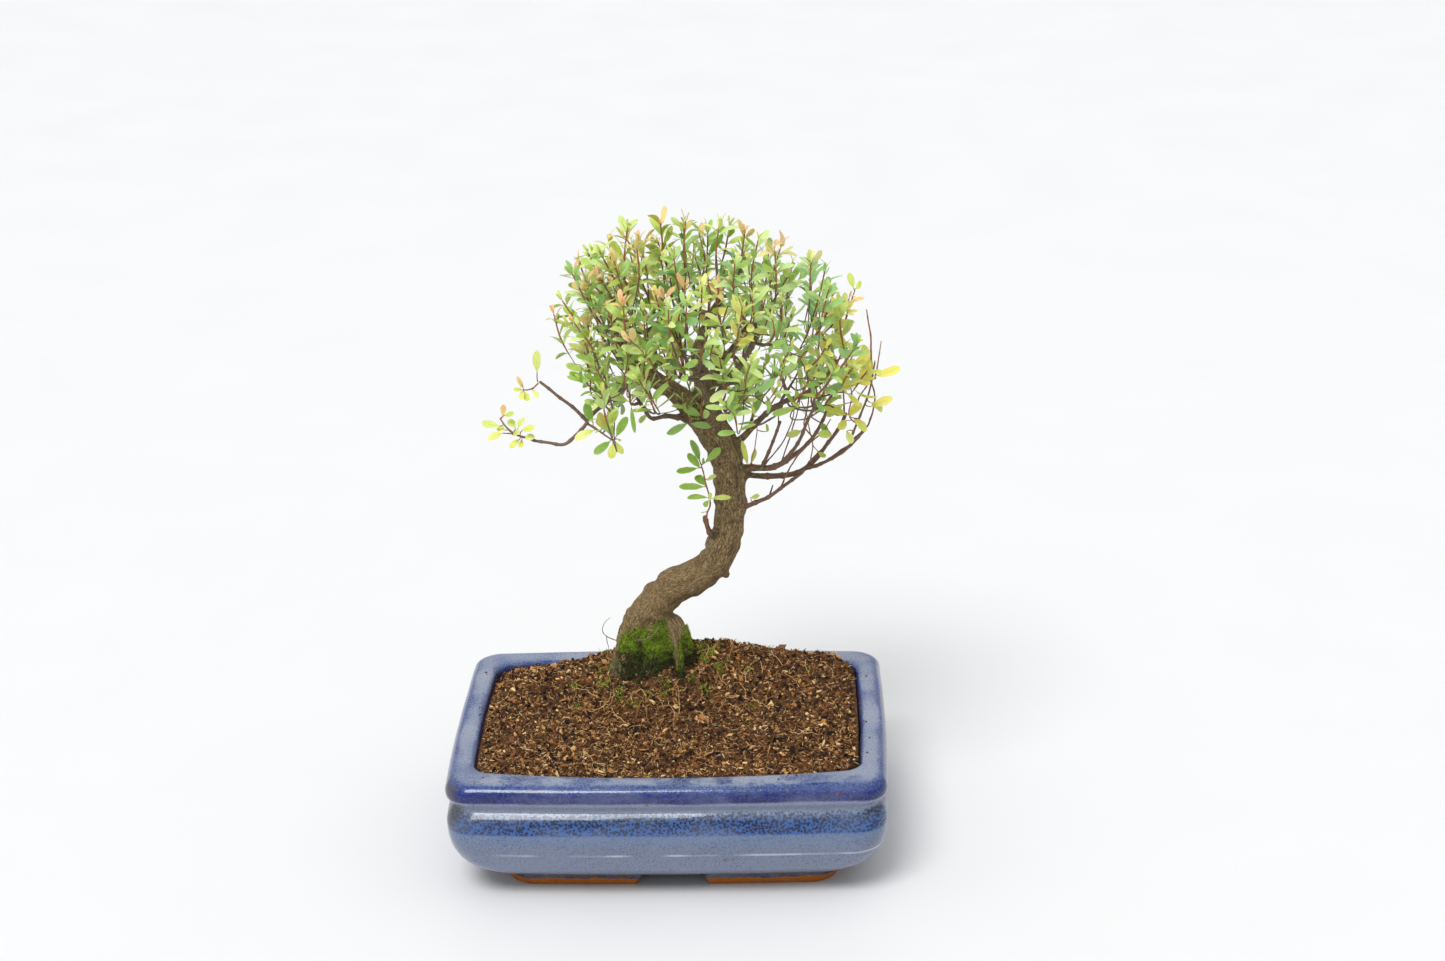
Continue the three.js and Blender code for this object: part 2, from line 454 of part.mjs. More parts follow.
place('pot', potGeometry(), glaze);
place('drain_mesh_left', screenGeometry(), plastic, -DRAIN_X, 0, FLOOR_Z + 0.3);
place('drain_mesh_right', screenGeometry(), plastic, DRAIN_X, 0, FLOOR_Z + 0.3);
const soil = soilGeometry();
place('soil', toGeometry(soil), earth);
place('tree_wood', toGeometry(treeManifold()), bark);
place('moss', toGeometry(mossManifold(soil)), mossGreen);
TUFTS.forEach(([name, x, y, z, r, tall = 1], i) => {
  const warm = random(900 + i)();
  const leaf = new THREE.MeshStandardMaterial({
    color: new THREE.Color().setHSL(0.24 - 0.05 * warm, 0.42, 0.42), roughness: 0.6, metalness: 0,
  });
  place(name, tuftGeometry(r, 100 + i, tall), leaf, x, y, z);
});

export default model;
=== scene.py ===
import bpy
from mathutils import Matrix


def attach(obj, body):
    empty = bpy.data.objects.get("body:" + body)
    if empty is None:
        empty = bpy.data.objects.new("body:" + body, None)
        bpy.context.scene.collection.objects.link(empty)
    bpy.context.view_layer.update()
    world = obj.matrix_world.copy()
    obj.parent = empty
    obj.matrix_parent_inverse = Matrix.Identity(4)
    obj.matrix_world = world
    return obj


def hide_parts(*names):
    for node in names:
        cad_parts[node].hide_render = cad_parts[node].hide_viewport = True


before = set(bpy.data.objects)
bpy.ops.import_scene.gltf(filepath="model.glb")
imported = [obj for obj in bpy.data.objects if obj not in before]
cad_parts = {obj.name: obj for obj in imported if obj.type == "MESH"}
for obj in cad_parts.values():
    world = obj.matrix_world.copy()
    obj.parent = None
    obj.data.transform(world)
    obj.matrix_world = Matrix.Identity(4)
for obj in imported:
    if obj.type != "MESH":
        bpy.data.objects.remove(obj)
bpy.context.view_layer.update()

# Bonsai tree in a glazed pot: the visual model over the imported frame.
# Lengths in the tables below are millimetres in the row frame; MM turns them into metres.
import math

import bpy
import numpy as np
from mathutils import Matrix, Vector, noise

MM = 0.001
RNG = np.random.default_rng(20)


# ------------------------------------------------------------------ mesh tools
def unit(v):
    v = np.asarray(v, float)
    return v / (np.linalg.norm(v, axis=-1, keepdims=True) + 1e-12)


class Soup:
    """Collects vertices (mm), faces and per-vertex attributes of one piece."""

    def __init__(self):
        self.v, self.f, self.n = [], [], 0
        self.attr = {}
        self.uv = []

    def add(self, verts, faces, uv=None, **attrs):
        verts = np.asarray(verts, float)
        self.v.append(verts)
        for size, fs in faces.items():
            if len(fs):
                self.f.append((size, np.asarray(fs, np.int64) + self.n))
        for k, a in attrs.items():
            a = np.asarray(a, float)
            if a.ndim == 0:
                a = np.full(len(verts), float(a))
            elif a.ndim == 1 and len(a) == 3 and len(verts) != 3:
                a = np.tile(a, (len(verts), 1))
            self.attr.setdefault(k, []).append(a)
        if uv is not None:
            self.uv.append(uv)
        self.n += len(verts)

    def build(self, name, material, smooth=True):
        me = bpy.data.meshes.new(name)
        v = np.concatenate(self.v) * MM
        me.vertices.add(len(v))
        me.vertices.foreach_set("co", v.ravel())
        sizes = np.concatenate([np.full(len(f), s, np.int64) for s, f in self.f])
        loops = np.concatenate([f.ravel() for s, f in self.f])
        me.loops.add(len(loops))
        me.loops.foreach_set("vertex_index", loops.astype(np.int32))
        me.polygons.add(len(sizes))
        me.polygons.foreach_set("loop_start", np.concatenate([[0], np.cumsum(sizes)[:-1]]).astype(np.int32))
        me.polygons.foreach_set("loop_total", sizes.astype(np.int32))
        me.update(calc_edges=True)
        me.validate()
        if smooth:
            me.polygons.foreach_set("use_smooth", np.ones(len(me.polygons), bool))
        for k, parts in self.attr.items():
            a = np.concatenate(parts)
            if a.ndim == 1:
                me.attributes.new(k, "FLOAT", "POINT").data.foreach_set("value", a.astype(np.float32))
            else:
                me.attributes.new(k, "FLOAT_VECTOR", "POINT").data.foreach_set("vector", a.astype(np.float32).ravel())
        if self.uv:
            per_vertex = np.concatenate(self.uv)
            layer = me.uv_layers.new(name="OFBake")
            idx = np.empty(len(me.loops), np.int32)
            me.loops.foreach_get("vertex_index", idx)
            layer.data.foreach_set("uv", per_vertex[idx].astype(np.float32).ravel())
        me.materials.append(material)
        ob = bpy.data.objects.new(name, me)
        bpy.context.scene.collection.objects.link(ob)
        return ob


def catmull(points, step=None, count=None):
    """Points along a centripetal Catmull-Rom curve; every column is carried along."""
    p = np.asarray(points, float)
    if len(p) == 2:
        n = count or max(2, int(math.ceil(np.linalg.norm(p[1, :3] - p[0, :3]) / step)) + 1)
        t = np.linspace(0, 1, n)[:, None]
        return p[0] * (1 - t) + p[1] * t
    ext = np.vstack([2 * p[0] - p[1], p, 2 * p[-1] - p[-2]])
    d = np.maximum(np.linalg.norm(np.diff(ext[:, :3], axis=0), axis=1) ** 0.5, 1e-4)
    t = np.concatenate([[0], np.cumsum(d)])
    out = []
    for i in range(1, len(ext) - 2):
        a, b, c, e = ext[i - 1:i + 3]
        t0, t1, t2, t3 = t[i - 1:i + 3]
        n = 24
        u = np.linspace(t1, t2, n, endpoint=False)[:, None]
        a1 = (t1 - u) / (t1 - t0) * a + (u - t0) / (t1 - t0) * b
        a2 = (t2 - u) / (t2 - t1) * b + (u - t1) / (t2 - t1) * c
        a3 = (t3 - u) / (t3 - t2) * c + (u - t2) / (t3 - t2) * e
        b1 = (t2 - u) / (t2 - t0) * a1 + (u - t0) / (t2 - t0) * a2
        b2 = (t3 - u) / (t3 - t1) * a2 + (u - t1) / (t3 - t1) * a3
        out.append((t2 - u) / (t2 - t1) * b1 + (u - t1) / (t2 - t1) * b2)
    q = np.vstack(out + [p[-1:]])
    s = np.concatenate([[0], np.cumsum(np.linalg.norm(np.diff(q[:, :3], axis=0), axis=1))])
    n = count or max(3, int(round(s[-1] / step)) + 1)
    w = np.linspace(0, s[-1], n)
    return np.stack([np.interp(w, s, q[:, k]) for k in range(q.shape[1])], 1)


def frames_along(c):
    """Tangents and two parallel-transported side directions along points c."""
    t = unit(np.gradient(c, axis=0))
    side = np.array([1.0, 0, 0])
    if abs(t[0] @ side) > 0.9:
        side = np.array([0, 1.0, 0])
    a = np.empty_like(c)
    for i in range(len(c)):
        side = unit(side - t[i] * (side @ t[i]))
        a[i] = side
    return t, a, np.cross(t, a)


def tube(soup, pts, radii, sides=8, wobble=None, cap=True, **attrs):
    """A closed round tube along pts (already fine). wobble scales the radius per vertex."""
    c = np.asarray(pts, float)
    r = np.asarray(radii, float)
    t, a, b = frames_along(c)
    if cap:  # two shrinking rings round each end off
        for k, (frac, out) in enumerate(((0.8, 0.35), (0.4, 0.6))):
            c = np.vstack([c[:1] - t[:1] * r[0] * (out - (0.35 if k else 0)), c, c[-1:] + t[-1:] * r[-1] * (out - (0.35 if k else 0))])
            a = np.vstack([a[:1], a, a[-1:]])
            b = np.vstack([b[:1], b, b[-1:]])
            r0 = r[0] * (0.8 if k == 0 else 0.5)
            r1 = r[-1] * (0.8 if k == 0 else 0.5)
            t = np.vstack([t[:1], t, t[-1:]])
            r = np.concatenate([[r0], r, [r1]])
    n = len(c)
    th = np.linspace(0, 2 * np.pi, sides, endpoint=False)
    rr = np.repeat(r[:, None], sides, 1)
    if wobble is not None:
        rr = rr * wobble(n, sides)
    v = c[:, None] + a[:, None] * (np.cos(th)[None, :, None] * rr[..., None]) + b[:, None] * (np.sin(th)[None, :, None] * rr[..., None])
    v = np.vstack([v.reshape(-1, 3), c[:1] - t[:1] * r[0] * 0.3, c[-1:] + t[-1:] * r[-1] * 0.3])
    i = np.arange(n - 1)[:, None] * sides
    j = np.arange(sides)[None, :]
    k = (j + 1) % sides
    quads = np.stack([i + j, i + k, i + sides + k, i + sides + j], -1).reshape(-1, 4)
    j = np.arange(sides)
    k = (j + 1) % sides
    first, last = n * sides, n * sides + 1
    tris = np.vstack([np.stack([np.full(sides, first), k, j], 1),
                      np.stack([np.full(sides, last), (n - 1) * sides + j, (n - 1) * sides + k], 1)])
    soup.add(v, {4: quads, 3: tris}, **attrs)


# ------------------------------------------------------------------ shader tools
class Mat:
    def __init__(self, name):
        self.m = bpy.data.materials.new(name)
        self.m.use_nodes = True
        self.nt = self.m.node_tree
        self.nt.nodes.clear()
        self.out = self.nt.nodes.new("ShaderNodeOutputMaterial")
        self.bsdf = self.nt.nodes.new("ShaderNodeBsdfPrincipled")
        self.nt.links.new(self.bsdf.outputs[0], self.out.inputs["Surface"])

    def node(self, kind, **props):
        n = self.nt.nodes.new(kind)
        for k, v in props.items():
            setattr(n, k, v)
        return n

    def put(self, socket, value):
        if isinstance(value, (bpy.types.NodeSocket,)):
            self.nt.links.new(value, socket)
        elif value is not None:
            if isinstance(value, (tuple, list)) and len(value) == 3 and socket.type == "RGBA":
                value = (*value, 1.0)
            socket.default_value = value

    def coord(self, scale=(1, 1, 1), loc=(0, 0, 0)):
        """Object coordinates in millimetres, then scaled."""
        tc = self.node("ShaderNodeTexCoord")
        mp = self.node("ShaderNodeMapping")
        self.put(mp.inputs["Vector"], tc.outputs["Object"])
        mp.inputs["Scale"].default_value = [1000 * s for s in scale]
        mp.inputs["Location"].default_value = loc
        return mp.outputs[0]

    def attr(self, name, vector=False):
        n = self.node("ShaderNodeAttribute", attribute_name=name)
        return n.outputs["Vector"] if vector else n.outputs["Fac"]

    def noise(self, vec, scale, detail=3.0, rough=0.55, distortion=0.0):
        n = self.node("ShaderNodeTexNoise")
        self.put(n.inputs["Vector"], vec)
        n.inputs["Scale"].default_value = scale
        n.inputs["Detail"].default_value = detail
        n.inputs["Roughness"].default_value = rough
        n.inputs["Distortion"].default_value = distortion
        return n.outputs["Fac"]

    def voronoi(self, vec, scale, feature="F1", rand=1.0, out="Distance"):
        n = self.node("ShaderNodeTexVoronoi", feature=feature)
        self.put(n.inputs["Vector"], vec)
        n.inputs["Scale"].default_value = scale
        n.inputs["Randomness"].default_value = rand
        return n.outputs[out]

    def ramp(self, fac, stops, interp="LINEAR"):
        n = self.node("ShaderNodeValToRGB")
        self.put(n.inputs[0], fac)
        cr = n.color_ramp
        cr.interpolation = interp
        while len(cr.elements) > 1:
            cr.elements.remove(cr.elements[-1])
        for i, (p, c) in enumerate(stops):
            e = cr.elements[0] if i == 0 else cr.elements.new(p)
            e.position = p
            c = (c, c, c) if isinstance(c, (int, float)) else c
            e.color = (*c, 1.0)
        return n.outputs["Color"]

    def math(self, op, a, b=None, c=None, clamp=False):
        n = self.node("ShaderNodeMath", operation=op, use_clamp=clamp)
        self.put(n.inputs[0], a)
        if b is not None:
            self.put(n.inputs[1], b)
        if c is not None:
            self.put(n.inputs[2], c)
        return n.outputs[0]

    def remap(self, v, a, b, c=0.0, d=1.0, smooth=False):
        n = self.node("ShaderNodeMapRange", clamp=True)
        if smooth:
            n.interpolation_type = "SMOOTHSTEP"
        self.put(n.inputs[0], v)
        for i, x in enumerate((a, b, c, d)):
            n.inputs[1 + i].default_value = x
        return n.outputs[0]

    def mix(self, fac, a, b, mode="MIX"):
        n = self.node("ShaderNodeMix", data_type="RGBA", blend_type=mode)
        self.put(n.inputs[0], fac)
        self.put(n.inputs[6], a)
        self.put(n.inputs[7], b)
        return n.outputs[2]

    def separate(self, vec):
        n = self.node("ShaderNodeSeparateXYZ")
        self.put(n.inputs[0], vec)
        return n.outputs

    def bump(self, height, distance, strength=1.0, normal=None):
        n = self.node("ShaderNodeBump")
        self.put(n.inputs["Height"], height)
        n.inputs["Distance"].default_value = distance
        n.inputs["Strength"].default_value = strength
        if normal is not None:
            self.put(n.inputs["Normal"], normal)
        return n.outputs[0]

    def set(self, **kw):
        for k, v in kw.items():
            self.put(self.bsdf.inputs[k.replace("_", " ")], v)
        return self


def fbm(p, scale, octaves=4, seed=0.0):
    """Fractal noise in about -1..1 at the rows of p."""
    out = np.empty(len(p))
    off = Vector((seed * 17.3, seed * 5.1, seed * 9.7))
    for i, q in enumerate(p):
        out[i] = noise.fractal(Vector(q) * scale + off, 0.9, 2.1, octaves)
    return out

# Centre lines of the wood: (x, y, z, radius).
WOOD = {
    "trunk": [[-12.5, 34, 44, 15.5], [-12.5, 34, 58, 14.5], [-11.6, 34, 69.8, 14.99], [-13.2, 33.5, 81.6, 12.05], [-11.9, 33, 93.3, 10.09], [-6.3, 32, 104.1, 9], [1.6, 31, 111.7, 8.45], [9.8, 30, 116.2, 8.1], [15.6, 29.5, 119.9, 7.85], [21.5, 29, 126, 7.88], [25.7, 28.5, 135.6, 7.72], [28.2, 28, 147.9, 7.55], [29.2, 27.5, 159.7, 7.48], [28.3, 27, 171.4, 7.6], [26.1, 26.5, 182.1, 7.76], [22.7, 26, 189.7, 8.39], [19.5, 26, 196.2, 6.98]],
    "limb_left": [[22.7, 26, 188.7, 6.53], [15.4, 25, 199, 6.28], [8.3, 23, 208.1, 5.09], [0.2, 20, 216, 4.15], [-7.4, 18, 221.6, 3.77], [-14, 16, 227.1, 3.49], [-19.3, 15, 234.3, 3.2], [-21.7, 15, 243.4, 2.74], [-23.8, 16, 251.2, 2.28], [-25.9, 17, 258.5, 1.46]],
    "limb_center": [[21.8, 26, 191.2, 6.53], [18.3, 27, 205.7, 5.34], [16.6, 28, 217.1, 4.17], [15, 29, 228, 3.24], [17.4, 30, 237.4, 2.54], [21.8, 30, 247, 2.07], [26.6, 28, 256.6, 1.47]],
    "limb_right": [[28.2, 25, 183.6, 4.2], [34.4, 22, 189.1, 3.26], [39.6, 20, 195.2, 2.78], [47.2, 16, 204.3, 2.44], [54.6, 12, 210.5, 2.2], [62, 8, 214.7, 1.97], [68.4, 5, 219.5, 1.78], [73.9, 3, 225.4, 1.5], [78.5, 2, 233.8, 1.18]],
    "limb_front": [[21.9, 24, 192.9, 4.19], [21.2, 8, 209.2, 2.75], [19.2, -8, 224.3, 1.99], [17.6, -20, 238.6, 1.34]],
    "limb_front_right": [[21.1, 10, 207.6, 2.29], [28.1, -3, 224.4, 1.81], [37.1, -14, 239.3, 1.43], [43.2, -20, 252.4, 1.11]],
    "limb_back": [[18.2, 28, 204.4, 3.72], [21.7, 44, 213.7, 2.58], [30.1, 54, 222.3, 1.89], [37.7, 58, 232.8, 1.32]],
    "limb_back_left": [[-6, 18, 220.6, 2.53], [-5.8, 36, 226.4, 1.95], [-8.9, 48, 234.4, 1.31]],
    "under_left": [[11.8, 24, 201.9, 3.25], [6.4, 20, 200.8, 2.13], [0.3, 16, 202.8, 1.57], [-6.1, 10, 203.7, 1.29], [-9.3, 5, 210, 1.14], [-12.1, 0, 217.1, 1]],
    "whip_left": [[-11.4, 17, 223.9, 2.3], [-16.8, 13, 219.5, 1.74], [-23.6, 8, 214.5, 1.56], [-28.6, 5, 211.7, 1.42], [-33.1, 3, 208, 1.32], [-36.8, 1, 203, 1.23], [-40.9, 0, 199, 1.19], [-46, -1, 195.3, 1.14], [-53.2, -2, 196.6, 1], [-60.2, -2, 197.7, 0.96]],
    "whip_left_2": [[-35.4, 2, 205.5, 1.28], [-41.5, 0, 213, 1.09], [-47.5, -1, 218.2, 1], [-52.2, -2, 222.9, 0.95], [-55.7, -2, 225.8, 0.95]],
    "low_upper": [[32.7, 26, 172.3, 3.28], [37.4, 23, 174.3, 2.8], [41.7, 20, 175.6, 2.47], [47.1, 17, 176.4, 2.14], [52.9, 14, 179.5, 1.85], [57.6, 12, 183.4, 1.57], [63.2, 11, 188.3, 1.34], [68.5, 10, 194.9, 1.2], [72, 9, 201.7, 1.1], [75.3, 8, 210.2, 1.01]],
    "low_upper_b": [[52.9, 14, 179.5, 1.48], [59.1, 8, 189, 1.24], [62.6, 4, 196.7, 1.15], [65.1, 2, 204.2, 1.05], [68.5, 0, 212, 1]],
    "low_upper_c": [[44.1, 18, 176.6, 1.4], [47.5, 14, 185.9, 1.11], [50.4, 10, 194.7, 1.01], [52.8, 6, 202.9, 1.01]],
    "low_mid": [[31.7, 28, 170.5, 3.05], [37.3, 28, 169.2, 2.44], [42, 28, 168.5, 2.16], [52.8, 29, 168.2, 1.88], [60.1, 30, 169.1, 1.74], [65, 31, 171.7, 1.55], [69.8, 32, 175.8, 1.41], [74.5, 33, 182.3, 1.27], [79.2, 34, 188.4, 1.13], [83.5, 34, 196.8, 1.03]],
    "low_mid_b": [[64.1, 31, 170.9, 1.41], [71.1, 26, 174.9, 1.17], [80.9, 20, 182.5, 1.07], [88, 14, 191.5, 1.02], [91.8, 10, 198.2, 1.01]],
    "low_bottom": [[32.4, 27, 151.8, 2.36], [36.7, 24, 154.9, 1.79], [41.9, 22, 157.9, 1.5], [46.9, 21, 160.5, 1.31], [52.8, 22, 164.6, 1.22], [57.9, 25, 167.4, 1.17], [62.2, 30, 169, 1.13], [67.4, 36, 173.3, 1.08], [73.1, 41, 177.5, 1.04], [78.9, 45, 184.1, 1.04]],
    "spur_trunk": [[21.7, 27, 136.7, 2.37], [18.7, 22, 143.3, 1.27], [16.9, 20, 151.1, 1.13]],
    "root_right": [[-8.5, 33, 95.4, 7.2], [-2.2, 30, 89.3, 8.16], [1, 29, 80.3, 8.17], [3.7, 28, 70.2, 6.26], [8, 26, 54, 3.5]],
    "root_left": [[-15.9, 34, 88.8, 6.74], [-22.4, 33, 77.7, 5.79], [-27.4, 31, 67, 4.35], [-32, 28, 55, 3]],
    "root_front": [[-12, 30, 84.2, 6.73], [-14.4, 25, 74.9, 5.76], [-15.8, 20, 67.7, 4.31], [-17, 12, 55, 3]],
    "root_back": [[-10, 38, 78, 8], [-12, 46, 72, 7], [-14, 54, 65, 5], [-15, 57, 54, 3]],
    "root_back_right": [[-4, 36, 76, 8], [5, 42, 70, 6.5], [14, 47, 64, 4.5], [20, 50, 54, 2.5]],
    "trunk_shoot": [[28, 27, 139, 2.2], [20, 18, 146, 1.2], [17.2, 14, 151, 1], [16, 12.6, 154.6, 1]],
}
# Leaf tufts of the frame: name, centre, radius, and how many times taller than wide.
TUFTS = [
    ["foliage_low_back_01", 48, 51, 219.7, 14],
    ["foliage_low_back_02", 32.8, 20.6, 227.5, 14],
    ["foliage_low_back_03", 4.7, 46.4, 209.1, 11],
    ["foliage_low_back_04", 35.4, 32.7, 205.3, 9.5],
    ["foliage_low_front_01", -1.3, 6.8, 231.2, 11],
    ["foliage_low_left_01", -18, 49.6, 221.3, 12.5],
    ["foliage_low_right_01", 88.5, 5.9, 223.7, 12.5],
    ["foliage_mid_back_01", 41.9, 42.5, 256.9, 17],
    ["foliage_mid_back_02", 9.7, 43.1, 275.6, 17],
    ["foliage_mid_back_03", 8.1, 59.8, 245.1, 17],
    ["foliage_mid_back_04", -2.7, 31.7, 245, 11],
    ["foliage_mid_front_01", -3.5, -29.4, 246.4, 17],
    ["foliage_mid_front_02", 37.5, -11, 271.3, 17],
    ["foliage_mid_front_03", -7.1, 7.7, 260.1, 17],
    ["foliage_mid_front_04", 53.4, -3, 232.9, 15.5],
    ["foliage_mid_front_05", 29.6, -34.6, 244.6, 15.5],
    ["foliage_mid_front_06", 12.1, -31, 270.3, 11],
    ["foliage_mid_front_07", 15.8, -9.4, 246.5, 9.5],
    ["foliage_mid_left_01", -39.3, 36.5, 241, 17],
    ["foliage_mid_left_02", -26.9, -3.4, 233.6, 15.5],
    ["foliage_mid_left_03", -23.5, 37.3, 271.7, 15.5],
    ["foliage_mid_left_04", -13.2, -26.9, 274.1, 11],
    ["foliage_mid_left_05", -42, 18.1, 262.9, 11],
    ["foliage_mid_left_06", -21.5, 57.8, 245.7, 9.5],
    ["foliage_mid_left_07", -12.3, 60.5, 266.5, 9.5],
    ["foliage_mid_left_08", -30.9, -24.9, 247, 9.5],
    ["foliage_mid_right_01", 66.5, 6.5, 261.9, 17],
    ["foliage_mid_right_02", 68, 28.2, 232.3, 17],
    ["foliage_mid_right_03", 64.1, -27.1, 251.5, 15.5],
    ["foliage_mid_right_04", 68, 55.6, 246.2, 12.5],
    ["foliage_mid_right_05", 85.1, -12.2, 240.8, 11],
    ["foliage_top_centre_01", 5, -11.6, 291.1, 17],
    ["foliage_top_centre_02", 31.9, 19.8, 282.3, 14],
    ["foliage_top_centre_03", 32.2, 57.9, 278.5, 9.5],
    ["foliage_top_centre_04", 8.4, 17.4, 291, 9.5],
    ["foliage_top_centre_05", 31.2, -7.7, 297.9, 9.5],
    ["foliage_top_left_01", -37.1, -9.2, 276.2, 17],
    ["foliage_top_left_02", -12.7, 12.6, 290.2, 9.5],
    ["foliage_top_right_01", 64.7, -18.7, 281.4, 11],
    ["foliage_trunk_sprig", 15.5, 12, 171, 7.5, 2.1],
    ["foliage_whip_tip", -71, -3, 204.6, 8],
    ["foliage_whip_middle", -26.7, 0, 200.8, 8],
    ["foliage_whip_twig", -61, -3, 232.5, 6.5],
]
# Straight shoots from a limb to a tuft.
SHOOTS = [
    [17.9, -17.6, 235.7, 17.3, -15.4, 238.6, 1.18],
    [76.7, 2.4, 230.4, 78.4, 2.9, 229.5, 1.05],
    [-10, 17.2, 223.8, -7.8, 14.5, 225.7, 1.5],
    [-8.3, 45.6, 232.8, -9.9, 46.3, 230.9, 1.15],
    [19.6, 34.4, 208.1, 25.6, 33.8, 207, 1.5],
    [34.7, 56.4, 228.6, 36.6, 55.6, 227.3, 1.24],
    [21, 40.8, 211.8, 15.4, 42.7, 210.9, 1.5],
    [-25.5, 16.8, 257, -31.2, 17.2, 259.1, 1.3],
    [-7, 40.8, 229.6, -5.4, 37.4, 235.4, 1.36],
    [77.6, 2.2, 232.1, 80.4, -3.2, 235.4, 1],
    [15.6, 28.6, 223.6, 19.9, 26.6, 224.6, 1.5],
    [-19.8, 15, 236.1, -21.2, 11.4, 235.6, 1.5],
    [35.3, -11.8, 236.3, 39.2, -9.9, 235.6, 1.2],
    [-24.6, 16.4, 254.1, -22.1, 15.1, 255, 1.5],
    [40.8, -17.6, 247.2, 38.3, -21.3, 246.6, 1],
    [25.6, 28.4, 254.7, 28.7, 31.1, 255.1, 1.27],
    [-9.3, 46, 231.6, -16, 52.5, 239.3, 1],
    [42, -18.8, 249.8, 40.9, -16.9, 255.2, 1],
    [42, -18.8, 249.8, 49.2, -21.5, 250.3, 1],
    [-8.3, 45.6, 232.8, -3.4, 49.8, 236.5, 1.15],
    [-29.8, 17.1, 258.6, -27.6, 24.3, 263.3, 1.04],
    [70.6, 4.2, 221.9, 69.7, 12.2, 225.4, 1.33],
    [17.6, -16.2, 237.5, 10.5, -20.7, 240.5, 1],
    [-23, 15.6, 248.1, -28.9, 23.2, 245.5, 1.5],
    [27.1, 29.7, 254.9, 29.6, 24.7, 268.8, 1.02],
    [29, 25.9, 265.5, 21.9, 32.2, 269.2, 1],
    [79.7, -1.9, 234.6, 73.9, 1.8, 246.7, 1],
    [-29, 17.1, 258.3, -32.8, 4.8, 266.7, 1.04],
    [36.2, 57.2, 230.7, 56.3, 56.2, 240.5, 1.15],
    [-32.4, 6, 265.8, -18.9, 10.6, 282.6, 1],
    [-6.6, 47, 234, -10.7, 56.7, 257.4, 1],
    [14.2, -18.4, 239, 12.8, -26.7, 259.7, 1],
    [25.6, 28.9, 267.3, 30.1, 48.8, 275, 1],
    [44.4, -19.7, 250, 58.5, -19, 271.7, 1],
    [-31.9, 7.8, 264.6, -31.2, -16.1, 251.8, 1],
    [23.6, 30.7, 268.3, 13.4, 21.8, 283.5, 1],
    [-31.2, -13.7, 253, -20, -22, 266.2, 1],
    [17.4, 30, 237.4, 29.3, -2.5, 289.6, 1.5],
    [28.1, 0.7, 284.4, 19.9, -3.6, 286.7, 1.2],
]
